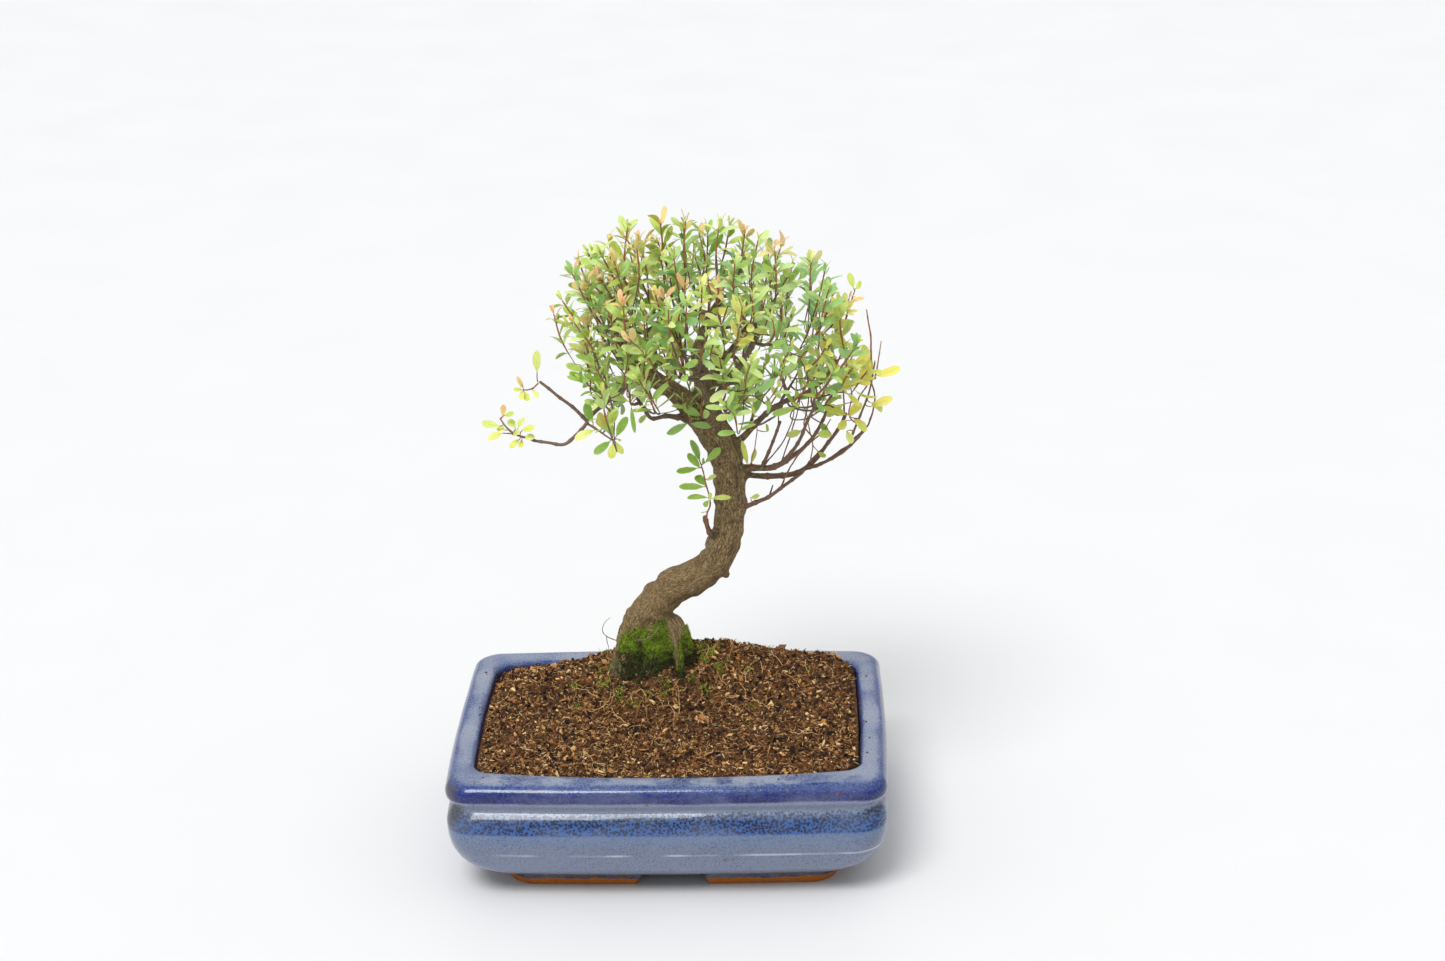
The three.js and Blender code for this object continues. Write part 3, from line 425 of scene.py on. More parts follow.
# Single leaves that stand apart: (base, tip, width, tone).
HAND_LEAVES = [
    ((15.4, 14.0, 180.7), (11.7, 13.0, 192.0), 3.6, "g"),
    ((15.5, 14.0, 177.8), (9.7, 16.0, 184.3), 3.6, "g"),
    ((14.5, 14.0, 177.8), (4.4, 11.0, 177.0), 3.4, "g"),
    ((17.6, 14.0, 180.3), (25.0, 15.0, 187.3), 3.6, "g"),
    ((16.4, 14.0, 179.3), (17.6, 10.0, 184.2), 2.2, "g"),
    ((17.4, 14.0, 168.5), (5.4, 13.0, 169.0), 3.8, "g"),
    ((17.7, 14.0, 169.0), (13.2, 19.0, 172.3), 4.2, "g"),
    ((18.3, 14.0, 172.3), (22.8, 9.0, 175.0), 3.8, "l"),
    ((18.8, 14.0, 163.0), (8.8, 15.0, 163.1), 2.8, "g"),
    ((20.2, 14.0, 162.6), (29.4, 13.0, 163.7), 2.6, "l"),
    ((19.4, 13.0, 161.1), (20.3, 6.0, 167.9), 3.6, "l"),
    ((18.7, 14.0, 161.5), (17.1, 12.0, 159.3), 2.6, "g"),
    ((17.8, 14.0, 156.0), (15.3, 12.0, 156.4), 1.0, "l"),
    ((-66.0, -3.0, 198.6), (-70.3, -5.0, 195.4), 3.4, "y"),
    ((-65.0, -3.0, 198.4), (-65.4, -7.0, 196.1), 2.6, "y"),
    ((-64.2, -3.0, 199.5), (-59.0, -4.0, 200.0), 3.2, "l"),
    ((-64.8, -3.0, 203.1), (-58.6, -6.0, 205.4), 3.6, "y"),
    ((-66.5, -3.0, 204.0), (-64.0, -1.0, 208.4), 3.0, "l"),
    ((-67.5, -3.0, 204.0), (-71.0, 0.0, 207.1), 3.4, "l"),
    ((-73.2, -3.0, 201.7), (-80.1, -6.0, 200.0), 3.8, "y"),
    ((-74.6, -3.0, 205.0), (-83.0, -3.0, 206.6), 3.6, "l"),
    ((-72.7, -3.0, 210.1), (-67.7, -5.0, 211.9), 2.6, "l"),
    ((-73.1, -3.0, 209.7), (-72.7, -2.0, 215.3), 2.8, "r"),
    ((-69.2, -3.0, 200.8), (-65.1, -8.0, 204.2), 3.2, "l"),
    ((-72.2, -3.0, 203.0), (-76.5, 0.0, 203.1), 3.0, "y"),
    ((-56.8, -3.0, 230.7), (-56.0, -5.0, 241.7), 4.2, "l"),
    ((-63.2, -3.0, 222.9), (-65.6, -5.0, 229.3), 2.0, "r"),
    ((-63.6, -3.0, 222.4), (-67.4, -6.0, 223.7), 1.8, "y"),
    ((-63.4, -3.0, 222.0), (-61.0, -5.0, 217.8), 3.0, "y"),
    ((-59.2, -3.0, 222.4), (-56.3, -5.0, 219.3), 2.6, "l"),
    ((-63.6, -3.0, 222.2), (-64.2, -7.0, 219.1), 2.6, "y"),
    ((-32.4, 0.0, 205.1), (-35.8, -3.0, 216.4), 4.4, "g"),
    ((-27.4, 0.0, 201.8), (-29.5, -2.0, 210.7), 4.2, "o"),
    ((-25.3, 0.0, 203.7), (-23.3, 2.0, 212.9), 4.0, "y"),
    ((-23.6, 0.0, 198.5), (-26.0, -4.0, 207.5), 4.2, "g"),
    ((-22.1, 0.0, 198.5), (-16.9, -1.0, 208.3), 4.2, "g"),
    ((-32.1, 0.0, 201.6), (-40.7, -4.0, 199.0), 4.2, "l"),
    ((-24.9, 0.0, 196.3), (-32.2, -4.0, 191.6), 4.0, "g"),
    ((-23.7, 0.0, 195.9), (-24.2, -5.0, 189.3), 4.2, "y"),
    ((-22.5, 0.0, 196.1), (-19.3, -2.0, 190.7), 3.2, "l"),
    ((-14.6, -4.0, 214.9), (-13.1, -8.0, 203.0), 2.2, "g"),
    ((-20.8, 0.0, 197.4), (-20.3, -2.0, 196.8), 1.6, "l"),
    ((-28.8, 2.0, 201.9), (-30.3, 4.0, 206.1), 3.6, "o"),
    ((38.3, 22.0, 159.8), (42.9, 20.0, 161.6), 2.4, "l"),
    ((37.3, 20.0, 177.0), (35.1, 17.0, 189.4), 2.6, "y"),
    ((39.0, 20.0, 177.6), (41.2, 22.0, 183.9), 2.2, "l"),
    ((70.3, 20.0, 183.2), (73.6, 16.0, 181.7), 2.6, "l"),
    ((62.7, 16.0, 195.1), (56.0, 10.0, 194.4), 3.6, "l"),
    ((46.4, 14.0, 195.4), (47.5, 10.0, 200.2), 3.0, "l"),
    ((83.3, 4.0, 225.3), (72.1, -2.0, 236.9), 4.6, "y"),
    ((83.8, 4.0, 225.3), (93.7, 1.0, 238.0), 4.2, "Y"),
    ((83.3, 4.0, 235.4), (79.3, 6.0, 244.9), 4.6, "Y"),
    ((96.1, 4.0, 225.2), (107.9, 2.0, 229.5), 4.6, "Y"),
    ((94.5, 4.0, 224.1), (91.1, 8.0, 239.1), 4.8, "y"),
    ((84.3, 4.0, 218.5), (79.0, 8.0, 224.0), 3.6, "y"),
    ((83.2, 4.0, 206.6), (73.0, -1.0, 212.6), 4.6, "y"),
    ((84.3, 4.0, 206.0), (89.6, -2.0, 214.3), 4.4, "Y"),
    ((94.0, 4.0, 210.5), (104.3, 6.0, 214.2), 4.4, "Y"),
    ((83.2, 4.0, 204.3), (79.7, -1.0, 201.5), 3.8, "y"),
    ((86.5, 4.0, 204.8), (92.3, 1.0, 200.1), 4.0, "y"),
    ((83.2, 4.0, 199.1), (85.6, 2.0, 193.5), 3.6, "l"),
    ((94.0, 4.0, 212.7), (100.1, 8.0, 207.3), 3.4, "l"),
    ((82.2, 4.0, 212.3), (74.1, 2.0, 206.8), 3.8, "l"),
    ((76.7, 4.0, 196.9), (70.2, 1.0, 198.6), 4.0, "l"),
    ((75.1, 4.0, 196.4), (71.9, 7.0, 201.6), 3.0, "g"),
    ((86.0, 4.0, 224.1), (93.9, -1.0, 223.5), 4.0, "Y"),
    ((82.2, 4.0, 218.5), (94.0, 5.0, 227.1), 4.0, "Y"),
    ((86.7, 10.0, 264.8), (84.6, 12.0, 272.0), 3.0, "l"),
    ((87.2, 10.0, 264.8), (90.5, 8.0, 268.7), 3.4, "l"),
]
HAND_TWIGS = [
    ("trunk_shoot", [(19.4, 22.0, 141.6), (17.8, 18.0, 148.5), (18.1, 16.0, 154.4), (19.7, 14.5, 159.1), (19.3, 14.0, 164.3), (18.2, 14.0, 168.7), (16.9, 14.0, 175.4), (15.8, 14.0, 179.8), (14.4, 15.0, 183.2)], 0.55, 0.35),
    ("spur", [(19.3, 24.0, 140.5), (17.9, 21.0, 147.1), (16.7, 20.0, 151.3)], 1.00, 0.70),
    ("whip_tip", [(-59.2, -2.0, 197.8), (-63.2, -3.0, 199.4), (-68.2, -3.0, 201.2), (-72.1, -3.0, 204.9), (-74.5, -3.0, 208.8)], 0.75, 0.40),
    ("whip_tip_b", [(-68.2, -3.0, 201.2), (-73.1, -4.0, 202.0)], 0.40, 0.30),
    ("red_twig", [(-56.6, -2.0, 225.2), (-59.2, -2.5, 222.9), (-61.7, -3.0, 222.4), (-63.4, -3.0, 222.4)], 0.50, 0.35),
    ("leaf_stalk", [(-56.8, -2.0, 225.9), (-57.0, -2.0, 227.7), (-56.9, -2.0, 229.8)], 0.40, 0.25),
    ("rosette_twig", [(-35.3, 2.0, 204.2), (-31.7, 1.0, 202.3), (-27.7, 0.5, 199.4), (-23.9, 0.0, 196.8)], 0.75, 0.40),
    ("bare_a", [(95.1, 6.0, 224.5), (94.4, 6.0, 235.8), (94.3, 6.0, 243.7), (93.2, 6.0, 250.4), (92.4, 6.0, 256.2)], 0.60, 0.35),
    ("bare_b", [(96.3, 8.0, 222.7), (97.5, 8.0, 229.5), (99.1, 8.0, 240.7)], 0.55, 0.25),
    ("bare_c", [(82.7, 10.0, 249.2), (84.5, 10.0, 255.9), (87.2, 10.0, 264.2)], 0.60, 0.30),
    ("right_up", [(85.4, 6.0, 193.8), (89.8, 6.0, 206.4), (93.5, 6.0, 216.6), (95.3, 6.0, 225.7), (96.2, 6.0, 231.3)], 0.80, 0.40),
]
CROWN_OUTLINE = [ (-52.8, 277.6), (-47.5, 285.0), (-35.6, 289.6), (-25.5, 295.1), (-9.2, 299.5), (13.3, 302.1), (32.1, 299.6), (45.6, 295.4), (59.0, 289.7), (69.8, 281.2), (81.5, 268.9), (87.8, 262.2), (90.5, 248.9), (95.1, 236.9), (101.5, 223.9), (99.7, 204.6), (91.4, 191.9), (84.0, 193.0), (79.4, 203.3), (83.1, 212.5), (71.2, 214.5), (59.7, 214.6), (48.2, 209.9), (39.8, 202.1), (31.9, 197.3), (21.4, 201.3), (15.8, 199.4), (8.5, 203.9), (-2.3, 214.2), (-9.6, 217.1), (-20.7, 215.3), (-28.2, 210.5), (-38.3, 210.6), (-41.7, 219.4), (-47.5, 234.8), (-53.4, 249.2), (-55.1, 264.4) ]
HAND_STEMS = [
    ("stem_a", [(45.1, 18.0, 177.2), (49.2, 16.6, 183.0), (53.3, 15.1, 188.8), (56.4, 13.7, 195.7), (58.5, 12.3, 202.0), (59.3, 10.9, 207.7), (60.1, 9.4, 216.1), (60.4, 8.0, 222.8)], 0.34, 0.22, 0.45),
    ("stem_b", [(53.2, 16.0, 180.0), (55.0, 16.6, 185.1), (57.4, 17.1, 192.3), (59.2, 17.7, 198.5), (60.7, 18.3, 203.1), (62.0, 18.9, 208.7), (63.6, 19.4, 214.3), (64.6, 20.0, 220.4)], 0.34, 0.22, 0.45),
    ("stem_c", [(52.6, 22.0, 164.8), (54.4, 19.8, 170.0), (55.7, 17.5, 173.5), (58.3, 15.2, 179.1), (61.3, 13.0, 184.7), (65.9, 10.8, 190.3), (70.4, 8.5, 195.3), (73.3, 6.2, 199.2), (75.8, 4.0, 204.7)], 0.4, 0.26, 0.55),
    ("stem_d", [(66.3, 31.0, 171.2), (69.9, 28.7, 173.0), (74.5, 26.5, 176.5), (79.5, 24.2, 181.1), (84.5, 21.9, 185.6), (88.0, 19.6, 190.1), (91.0, 17.4, 193.6), (94.0, 15.1, 199.7), (95.4, 12.8, 205.2), (96.3, 10.5, 212.8), (94.3, 8.3, 221.9), (92.5, 6.0, 227.9)], 0.62, 0.3, 0.35),
    ("stem_e", [(66.9, 28.0, 175.5), (67.4, 27.0, 180.7), (67.7, 26.0, 185.4), (66.4, 25.0, 192.2), (65.2, 24.0, 198.9), (64.0, 23.0, 203.5), (62.5, 22.0, 207.6)], 0.32, 0.2, 0.85),
    ("stem_f", [(46.9, 22.0, 160.3), (48.0, 21.0, 163.6), (49.0, 20.0, 166.7)], 0.42, 0.3, 0.1),
    ("stem_g", [(57.0, 10.0, 209.6), (60.0, 7.7, 208.8), (64.0, 5.3, 208.6), (67.9, 3.0, 209.6), (71.4, 0.7, 211.9), (74.3, -1.7, 213.5), (77.2, -4.0, 213.2)], 0.5, 0.36, 0.1),
    ("stem_i", [(41.9, 14.0, 198.4), (46.5, 12.5, 201.0), (50.5, 11.0, 204.1), (53.0, 9.5, 207.7), (54.6, 8.0, 212.4)], 0.5, 0.35, 0.2),
    ("stem_j", [(66.5, 12.0, 204.1), (70.0, 11.0, 208.1), (73.0, 10.0, 212.6), (72.7, 9.0, 218.7), (72.0, 8.0, 224.8)], 0.3, 0.2, 0.85),
    ("stem_k", [(82.5, 20.0, 200.7), (82.3, 21.2, 207.7), (82.1, 22.4, 213.1), (81.4, 23.6, 217.5), (80.2, 24.8, 220.8), (79.7, 26.0, 224.6)], 0.4, 0.25, 0.4),
    ("stem_l", [(84.9, 12.0, 202.9), (85.9, 11.0, 213.8), (84.9, 10.0, 219.4), (83.4, 9.0, 227.0), (83.1, 8.0, 231.5)], 0.34, 0.22, 0.95),
    ("stem_m", [(87.8, 8.0, 208.5), (89.3, 7.0, 214.6), (92.7, 6.0, 220.1), (95.2, 5.0, 227.2), (96.1, 4.0, 232.7)], 0.38, 0.25, 0.7),
    ("stem_n", [(63.9, 16.0, 197.5), (65.2, 15.6, 205.5), (66.0, 15.2, 211.5), (65.6, 14.8, 221.1), (64.1, 14.4, 224.9), (63.9, 14.0, 229.2)], 0.34, 0.22, 0.75),
    ("stem_o", [(39.1, 18.0, 178.8), (40.7, 16.7, 185.7), (41.9, 15.3, 195.8), (41.7, 14.0, 200.5)], 0.26, 0.2, 0.95),
    ("stem_p", [(51.7, 12.0, 197.4), (52.0, 11.0, 203.5), (51.8, 10.0, 208.1)], 0.35, 0.25, 0.1),
    ("stem_q", [(40.6, 14.0, 215.2), (42.2, 14.0, 218.9), (45.2, 14.0, 224.6), (45.8, 14.0, 229.3)], 0.4, 0.25, 0.6),
    ("stem_r", [(44.6, 12.0, 211.2), (48.7, 11.3, 218.2), (49.5, 10.7, 224.7), (49.8, 10.0, 229.0)], 0.34, 0.22, 0.6),
    ("stem_s", [(48.6, 10.0, 209.7), (53.1, 9.0, 217.3), (55.7, 8.0, 223.9), (56.7, 7.0, 228.9), (60.2, 6.0, 232.3)], 0.4, 0.25, 0.8),
]


def vnoise(p, seed=0):
    """Smooth value noise in -1..1 at the rows of p, in lattice units."""
    p = np.asarray(p, float)
    i = np.floor(p).astype(np.int64)
    f = p - i
    u = f * f * f * (f * (f * 6 - 15) + 10)

    def h(x, y, z):
        n = (x * 374761393 + y * 668265263 + z * 1440662683 + seed * 974634777) & 0xFFFFFFFF
        n = ((n ^ (n >> 13)) * 1274126177) & 0xFFFFFFFF
        n = ((n ^ (n >> 16)) * 2246822519) & 0xFFFFFFFF
        return ((n ^ (n >> 15)) & 0xFFFFFF) / 0xFFFFFF * 2 - 1

    x, y, z = i.T
    c = [[[h(x + a, y + b, z + d) for d in (0, 1)] for b in (0, 1)] for a in (0, 1)]
    ux, uy, uz = u.T
    lerp = lambda a, b, t: a + (b - a) * t
    return lerp(lerp(lerp(c[0][0][0], c[0][0][1], uz), lerp(c[0][1][0], c[0][1][1], uz), uy),
                lerp(lerp(c[1][0][0], c[1][0][1], uz), lerp(c[1][1][0], c[1][1][1], uz), uy), ux)


def fnoise(p, octaves=4, gain=0.5, seed=0):
    p = np.asarray(p, float)
    out, amp, tot = 0.0, 1.0, 0.0
    for k in range(octaves):
        out = out + amp * vnoise(p * 2.03 ** k + 11.3 * k, seed + k)
        tot += amp
        amp *= gain
    return out / tot


def smoothstep(a, b, v):
    t = np.clip((v - a) / (b - a), 0, 1)
    return t * t * (3 - 2 * t)


# ------------------------------------------------------------------ camera
def make_camera():
    cam = bpy.data.cameras.new("camera")
    ob = bpy.data.objects.new("camera", cam)
    bpy.context.scene.collection.objects.link(ob)
    pitch, yaw, roll = math.radians(20.3593), math.radians(0.4186), math.radians(-0.6009)
    fwd = Vector((-math.sin(yaw) * math.cos(pitch), math.cos(yaw) * math.cos(pitch), -math.sin(pitch)))
    right = fwd.cross(Vector((0, 0, 1))).normalized()
    up = right.cross(fwd)
    r2 = right * math.cos(roll) + up * math.sin(roll)
    u2 = -right * math.sin(roll) + up * math.cos(roll)
    m = Matrix((r2, u2, -fwd)).transposed().to_4x4()
    m.translation = Vector((62.523, -1244.135, 638.193)) * MM
    ob.matrix_world = m
    cam.sensor_fit = "HORIZONTAL"
    cam.sensor_width = 36.0
    cam.lens = 36.0 * 2888.631 / 1445.0
    cam.shift_x = -59.5 / 1445.0
    cam.clip_start = 0.05
    cam.clip_end = 60
    cam.dof.use_dof = False
    bpy.context.scene.camera = ob
    return ob


# ------------------------------------------------------------------ pot
POT_HALF_X, POT_HALF_Y, POT_HEIGHT = 100.0, 76.8, 59.0
# (inset x, inset y, z, corner radius, bow x, bow y)
POT_PROFILE = [
    (23.5, 18.1, 7.05, 15.5), (21.0, 16.2, 7.6, 16.5), (16, 12.5, 9.2, 17), (10, 8.2, 12, 17), (5.4, 4.6, 16, 16), (2.4, 2.2, 21.5, 15), (0.5, 0.5, 28.5, 14),
    (0, 0, 36, 13), (0.25, 0.25, 39.2, 12.8), (1.3, 1.3, 42, 12.5), (3.0, 3.0, 44.2, 11.5), (3.9, 3.9, 45.2, 11), (3.9, 3.9, 45.7, 11), (3.2, 3.2, 46.6, 11), (1.9, 1.9, 48.0, 11), (0.75, 0.75, 49.6, 11), (0.15, 0.15, 51.2, 11),
    (0, 0, 53.2, 11), (0.3, 0.3, 55.0, 11), (1.2, 1.2, 56.7, 10.6), (2.6, 2.6, 58.0, 10.2), (4.6, 4.6, 58.75, 9.6), (7, 7, 59.0, 9),
]
MOUTH = [(9.0, 59.0, 8.2), (10.8, 58.6, 8), (12.0, 57.6, 8), (12.6, 56.0, 8), (12.8, 54, 8), (11.6, 46, 9), (10, 38, 10), (10, 28, 12), (12.5, 20, 14), (18, 15.2, 15), (26, 13.5, 15)]


def ring(hx, hy, radius, bow_x, bow_y, n_corner=26, n_long=46, n_short=36):
    """A rounded rectangle with bowed sides, as n points that run round it once."""
    r = min(radius, hx * 0.9, hy * 0.9)
    px, py = hx - r, hy - r
    pts = []
    for cx, cy, start, steps in ((px, -py, -90, n_short), (px, py, 0, n_long), (-px, py, 90, n_short), (-px, -py, 180, n_long)):
        a = np.radians(start + 90 * np.arange(n_corner) / n_corner)
        pts.append(np.stack([cx + r * np.cos(a), cy + r * np.sin(a)], 1))
        e = math.radians(start + 90)
        ex, ey = cx + r * math.cos(e), cy + r * math.sin(e)
        f = np.arange(steps) / steps
        if steps == n_long:
            pts.append(np.stack([ex * (1 - 2 * f), np.full(steps, ey)], 1))
        else:
            pts.append(np.stack([np.full(steps, ex), ey * (1 - 2 * f)], 1))
    p = np.vstack(pts)
    x, y = p.T
    return np.stack([x * (1 + bow_x / hx * (1 - np.clip(np.abs(y) / hy, 0, 1) ** 2)),
                     y * (1 + bow_y / hy * (1 - np.clip(np.abs(x) / hx, 0, 1) ** 2))], 1)


def pot_rows():
    rows = [(POT_HALF_X - dx, POT_HALF_Y - dy, z, r, 1.3, 2.6) for dx, dy, z, r in POT_PROFILE]
    n_out = len(rows)
    for d, z, r in MOUTH:
        k = smoothstep(7.0, 10.8, d)
        rows.append((POT_HALF_X - d, POT_HALF_Y - 6 * k - d, z, r, 1.3, 2.6 + 4.9 * k))
    return np.array(rows), n_out


def wall(x, y, z, hand=1.0):
    """Hand-made unevenness of the cast wall, in mm."""
    p = np.stack([x, y, z], 1)
    return hand * (0.28 * vnoise(p / 41.0, 3) + 0.12 * vnoise(p / 17.0, 4))


def make_pot():
    rows, _ = pot_rows()
    fine = catmull(np.column_stack([rows[:, 0], rows[:, 1], rows[:, 2], rows[:, 3:]]), step=0.85)
    s = Soup()
    verts = []
    for hx, hy, z, r, bx, by in fine:
        xy = ring(hx, hy, r, bx, by)
        verts.append(np.column_stack([xy, np.full(len(xy), z)]))
    n = len(verts[0])
    v = np.array(verts)
    centre = np.array([0, 0, 35.0])
    flat = v.reshape(-1, 3)
    out = unit(np.column_stack([flat[:, 0] / 1.3, flat[:, 1], np.zeros(len(flat))]))
    w = wall(flat[:, 0], flat[:, 1], flat[:, 2]) * smoothstep(8, 14, flat[:, 2])
    flat = flat + out * w[:, None]
    m = len(fine)
    i = np.arange(m - 1)[:, None] * n
    j = np.arange(n)[None, :]
    k = (j + 1) % n
    quads = np.stack([i + j, i + k, i + n + k, i + n + j], -1).reshape(-1, 4)
    bottom, top = len(flat), len(flat) + 1
    flat = np.vstack([flat, [[0, 0, 7.0]], [[0, 0, 13.5]]])
    j = np.arange(n)
    k = (j + 1) % n
    tris = np.vstack([np.stack([np.full(n, bottom), k, j], 1), np.stack([np.full(n, top), (m - 1) * n + j, (m - 1) * n + k], 1)])
    s.add(flat, {4: quads, 3: tris})
    # four L-shaped feet, each a strip of the foot ring between two gaps
    feet = [(65, 47.5, 9.2, 9, 0.6, 1.2), (66, 48.5, 0.35, 9, 0.6, 1.2), (66.4, 48.9, 0.0, 9, 0.6, 1.2),
            (75.2, 57.0, 0.0, 12, 0.8, 1.6), (75.8, 57.6, 0.45, 12, 0.8, 1.6), (76.3, 58.2, 3.2, 12.5, 0.8, 1.6), (76.6, 58.6, 9.2, 13, 0.8, 1.6)]
    rings = np.array([np.column_stack([ring(hx, hy, r, bx, by, 30, 60, 44), np.full(2 * (60 + 44) + 120, z)]) for hx, hy, z, r, bx, by in feet])
    for sx in (-1, 1):
        for sy in (-1, 1):
            mid = rings[3]
            ok = (mid[:, 0] * sx > 13.0) & (mid[:, 1] * sy > 13.5)
            idx = np.where(ok)[0]
            gaps = np.where(np.diff(idx) > 1)[0]
            if len(gaps):  # the run that crosses the seam of the ring
                idx = np.concatenate([idx[gaps[0] + 1:], idx[:gaps[0] + 1]])
            strip = rings[:, idx].copy()
            # the ends lean, so that each gap is wider at the table than under the bowl
            for e, inward in ((0, 1), (-1, -1)):
                end = strip[:, e]
                along = unit(strip[3, 1 if e == 0 else -2] - strip[3, e])
                z = end[:, 2:3]
                end[:, :2] += along[:2] * (2.6 - z * 0.62)
                strip[:, e] = end
            kk, mm = strip.shape[:2]
            vv = strip.reshape(-1, 3)
            vv[:, 0] += 1.6
            vv[:, 2] += 0.10 * vnoise(vv / 9.0, 8) * (vv[:, 2] < 1)
            vv[:, 2] = np.maximum(vv[:, 2], 0.0)
            a = np.arange(kk)[:, None] * mm
            b = np.arange(mm - 1)[None, :]
            an = ((np.arange(kk) + 1) % kk)[:, None] * mm
            q = np.stack([a + b, a + b + 1, an + b + 1, an + b], -1).reshape(-1, 4)
            caps = [np.arange(kk)[::-1] * mm, np.arange(kk) * mm + mm - 1]
            s.add(vv, {4: q, kk: np.array(caps)})
    ob = s.build("pot_body", glaze_material())
    mod = None
    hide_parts("pot")
    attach(ob, "root")
    return ob


def glaze_material():
    m = Mat("blue_glaze")
    p = m.coord()
    x, y, z = m.separate(p)
    geo = m.node("ShaderNodeNewGeometry")
    # the local level wanders so that the bands are not ruled lines
    wander = m.noise(m.coord((0.03, 0.03, 0.03)), 1.0, 2.0)
    zz = m.math("ADD", z, m.math("MULTIPLY", m.math("SUBTRACT", wander, 0.5), 2.4))
    fine = m.noise(m.coord((1, 1, 1)), 0.9, 3.0, 0.7)
    zz = m.math("ADD", zz, m.math("MULTIPLY", m.math("SUBTRACT", fine, 0.5), 0.9))
    level = m.remap(zz, 0.0, 60.0)
    d = 60.0
    # base colour by height: the glaze runs thin and pale on edges and pools dark in hollows
    base = m.ramp(level, [
        (0.00, (0.022, 0.030, 0.055)), (8.6 / d, (0.035, 0.045, 0.075)), (10.2 / d, (0.085, 0.115, 0.19)), (13.5 / d, (0.105, 0.135, 0.22)), (16 / d, (0.185, 0.22, 0.315)),
        (27 / d, (0.145, 0.175, 0.255)), (34.6 / d, (0.115, 0.165, 0.275)), (35.8 / d, (0.026, 0.100, 0.33)), (40.5 / d, (0.018, 0.080, 0.26)), (43.6 / d, (0.050, 0.110, 0.22)),
        (44.9 / d, (0.26, 0.315, 0.415)), (46.4 / d, (0.30, 0.335, 0.44)), (50.7 / d, (0.205, 0.225, 0.325)), (51.7 / d, (0.010, 0.012, 0.125)), (55.2 / d, (0.007, 0.014, 0.145)),
        (57.4 / d, (0.016, 0.050, 0.24)), (58.3 / d, (0.045, 0.085, 0.26)), (58.8 / d, (0.20, 0.235, 0.33)), (59.4 / d, (0.27, 0.298, 0.365))])
    # dark crackle cells where the glaze is thick
    cells = m.voronoi(m.coord(), 0.82, "F1", 1.0)
    dots = m.remap(cells, 0.47, 0.57, 1.0, 0.0, True)
    band1 = m.math("MULTIPLY", m.remap(zz, 34.6, 36.4, 0, 1, True), m.remap(zz, 43.8, 45.4, 1, 0, True))
    band2 = m.math("MULTIPLY", m.remap(zz, 50.9, 52.0, 0, 1, True), m.remap(zz, 58.2, 58.9, 1, 0, True))
    front = m.math("MULTIPLY", m.remap(y, -60.0, -67.5, 0, 1, True), m.remap(m.math("ABSOLUTE", x), 80.0, 94.0, 1, 0, True))
    front = m.math("MULTIPLY", front, m.remap(zz, 57.0, 58.2, 0, 1, True))
    front = m.math("MULTIPLY", front, m.remap(m.noise(m.coord((0.07, 0.07, 0.07)), 1.0, 3.0, 0.6), 0.42, 0.58, 0.0, 1.0, True))
    base = m.mix(m.math("MULTIPLY", front, 0.70), base, (0.040, 0.085, 0.27))
    thick = m.math("MAXIMUM", band1, m.math("MULTIPLY", m.math("MAXIMUM", band2, front), 0.62))
    speck = m.noise(m.coord(), 1.15, 2.0, 0.6)
    fleck = m.remap(m.voronoi(m.coord((1, 1, 1), (9, 2, 4)), 0.8, "F1", 1.0), 0.12, 0.34, 1.0, 0.0, True)
    base = m.mix(m.math("MULTIPLY", fleck, m.math("MULTIPLY", band2, 0.5)), base, (0.035, 0.11, 0.42))
    base = m.mix(m.math("MULTIPLY", dots, m.math("MULTIPLY", thick, 0.97)), base, (0.003, 0.006, 0.028))
    light_cells = m.remap(m.voronoi(m.coord((1.0, 1.0, 1.0), (3, 5, 7)), 0.95, "F1"), 0.10, 0.42, 1.0, 0.0, True)
    base = m.mix(m.math("MULTIPLY", light_cells, m.remap(thick, 0.0, 1.0, 0.22, 0.05)), base, (0.36, 0.40, 0.52))
    base = m.mix(m.remap(speck, 0.50, 0.68, 0.0, 0.55), base, (0.030, 0.050, 0.15))
    # painted reflection: a thin pale line low on the belly stands in for the white table mirrored in the glaze
    painted_table_reflection = m.math("MULTIPLY", m.remap(m.math("ABSOLUTE", m.math("SUBTRACT", z, 24.6)), 0.25, 0.75, 1.0, 0.0, True), m.remap(m.noise(m.coord((0.030, 0.012, 0.0)), 1.0, 2.0, 0.5), 0.44, 0.60, 0.0, 0.55, True))
    base = m.mix(painted_table_reflection, base, (0.62, 0.68, 0.80))
    # broad clouding
    cloud = m.noise(m.coord((0.045, 0.045, 0.09)), 1.0, 3.0, 0.6)
    base = m.mix(m.remap(cloud, 0.45, 0.75, 0.0, 0.35), base, (0.20, 0.235, 0.33))
    # rust specks where the iron breaks through
    rust = m.voronoi(m.coord((1, 1, 1), (31, 7, 3)), 0.085, "F1", 1.0)
    rmask = m.remap(rust, 0.055, 0.085, 1.0, 0.0, True)
    base = m.mix(m.math("MULTIPLY", rmask, 0.85), base, (0.16, 0.055, 0.02))
    # thin, olive-brown glaze at the front left corner
    cx = m.math("ADD", x, 99.0)
    cy = m.math("ADD", y, 68.0)
    dist = m.math("SQRT", m.math("ADD", m.math("MULTIPLY", cx, cx), m.math("MULTIPLY", cy, cy)))
    dist = m.math("ADD", dist, m.math("MULTIPLY", m.math("SUBTRACT", m.noise(m.coord((0.12, 0.12, 0.12)), 1.0, 3.0), 0.5), 12.0))
    thin = m.math("MULTIPLY", m.remap(dist, 5.0, 11.0, 0.62, 0.0, True), m.math("MULTIPLY", m.remap(z, 33, 38, 0, 1, True), m.remap(z, 57, 58.5, 1, 0, True)))
    base = m.mix(thin, base, (0.075, 0.062, 0.052))
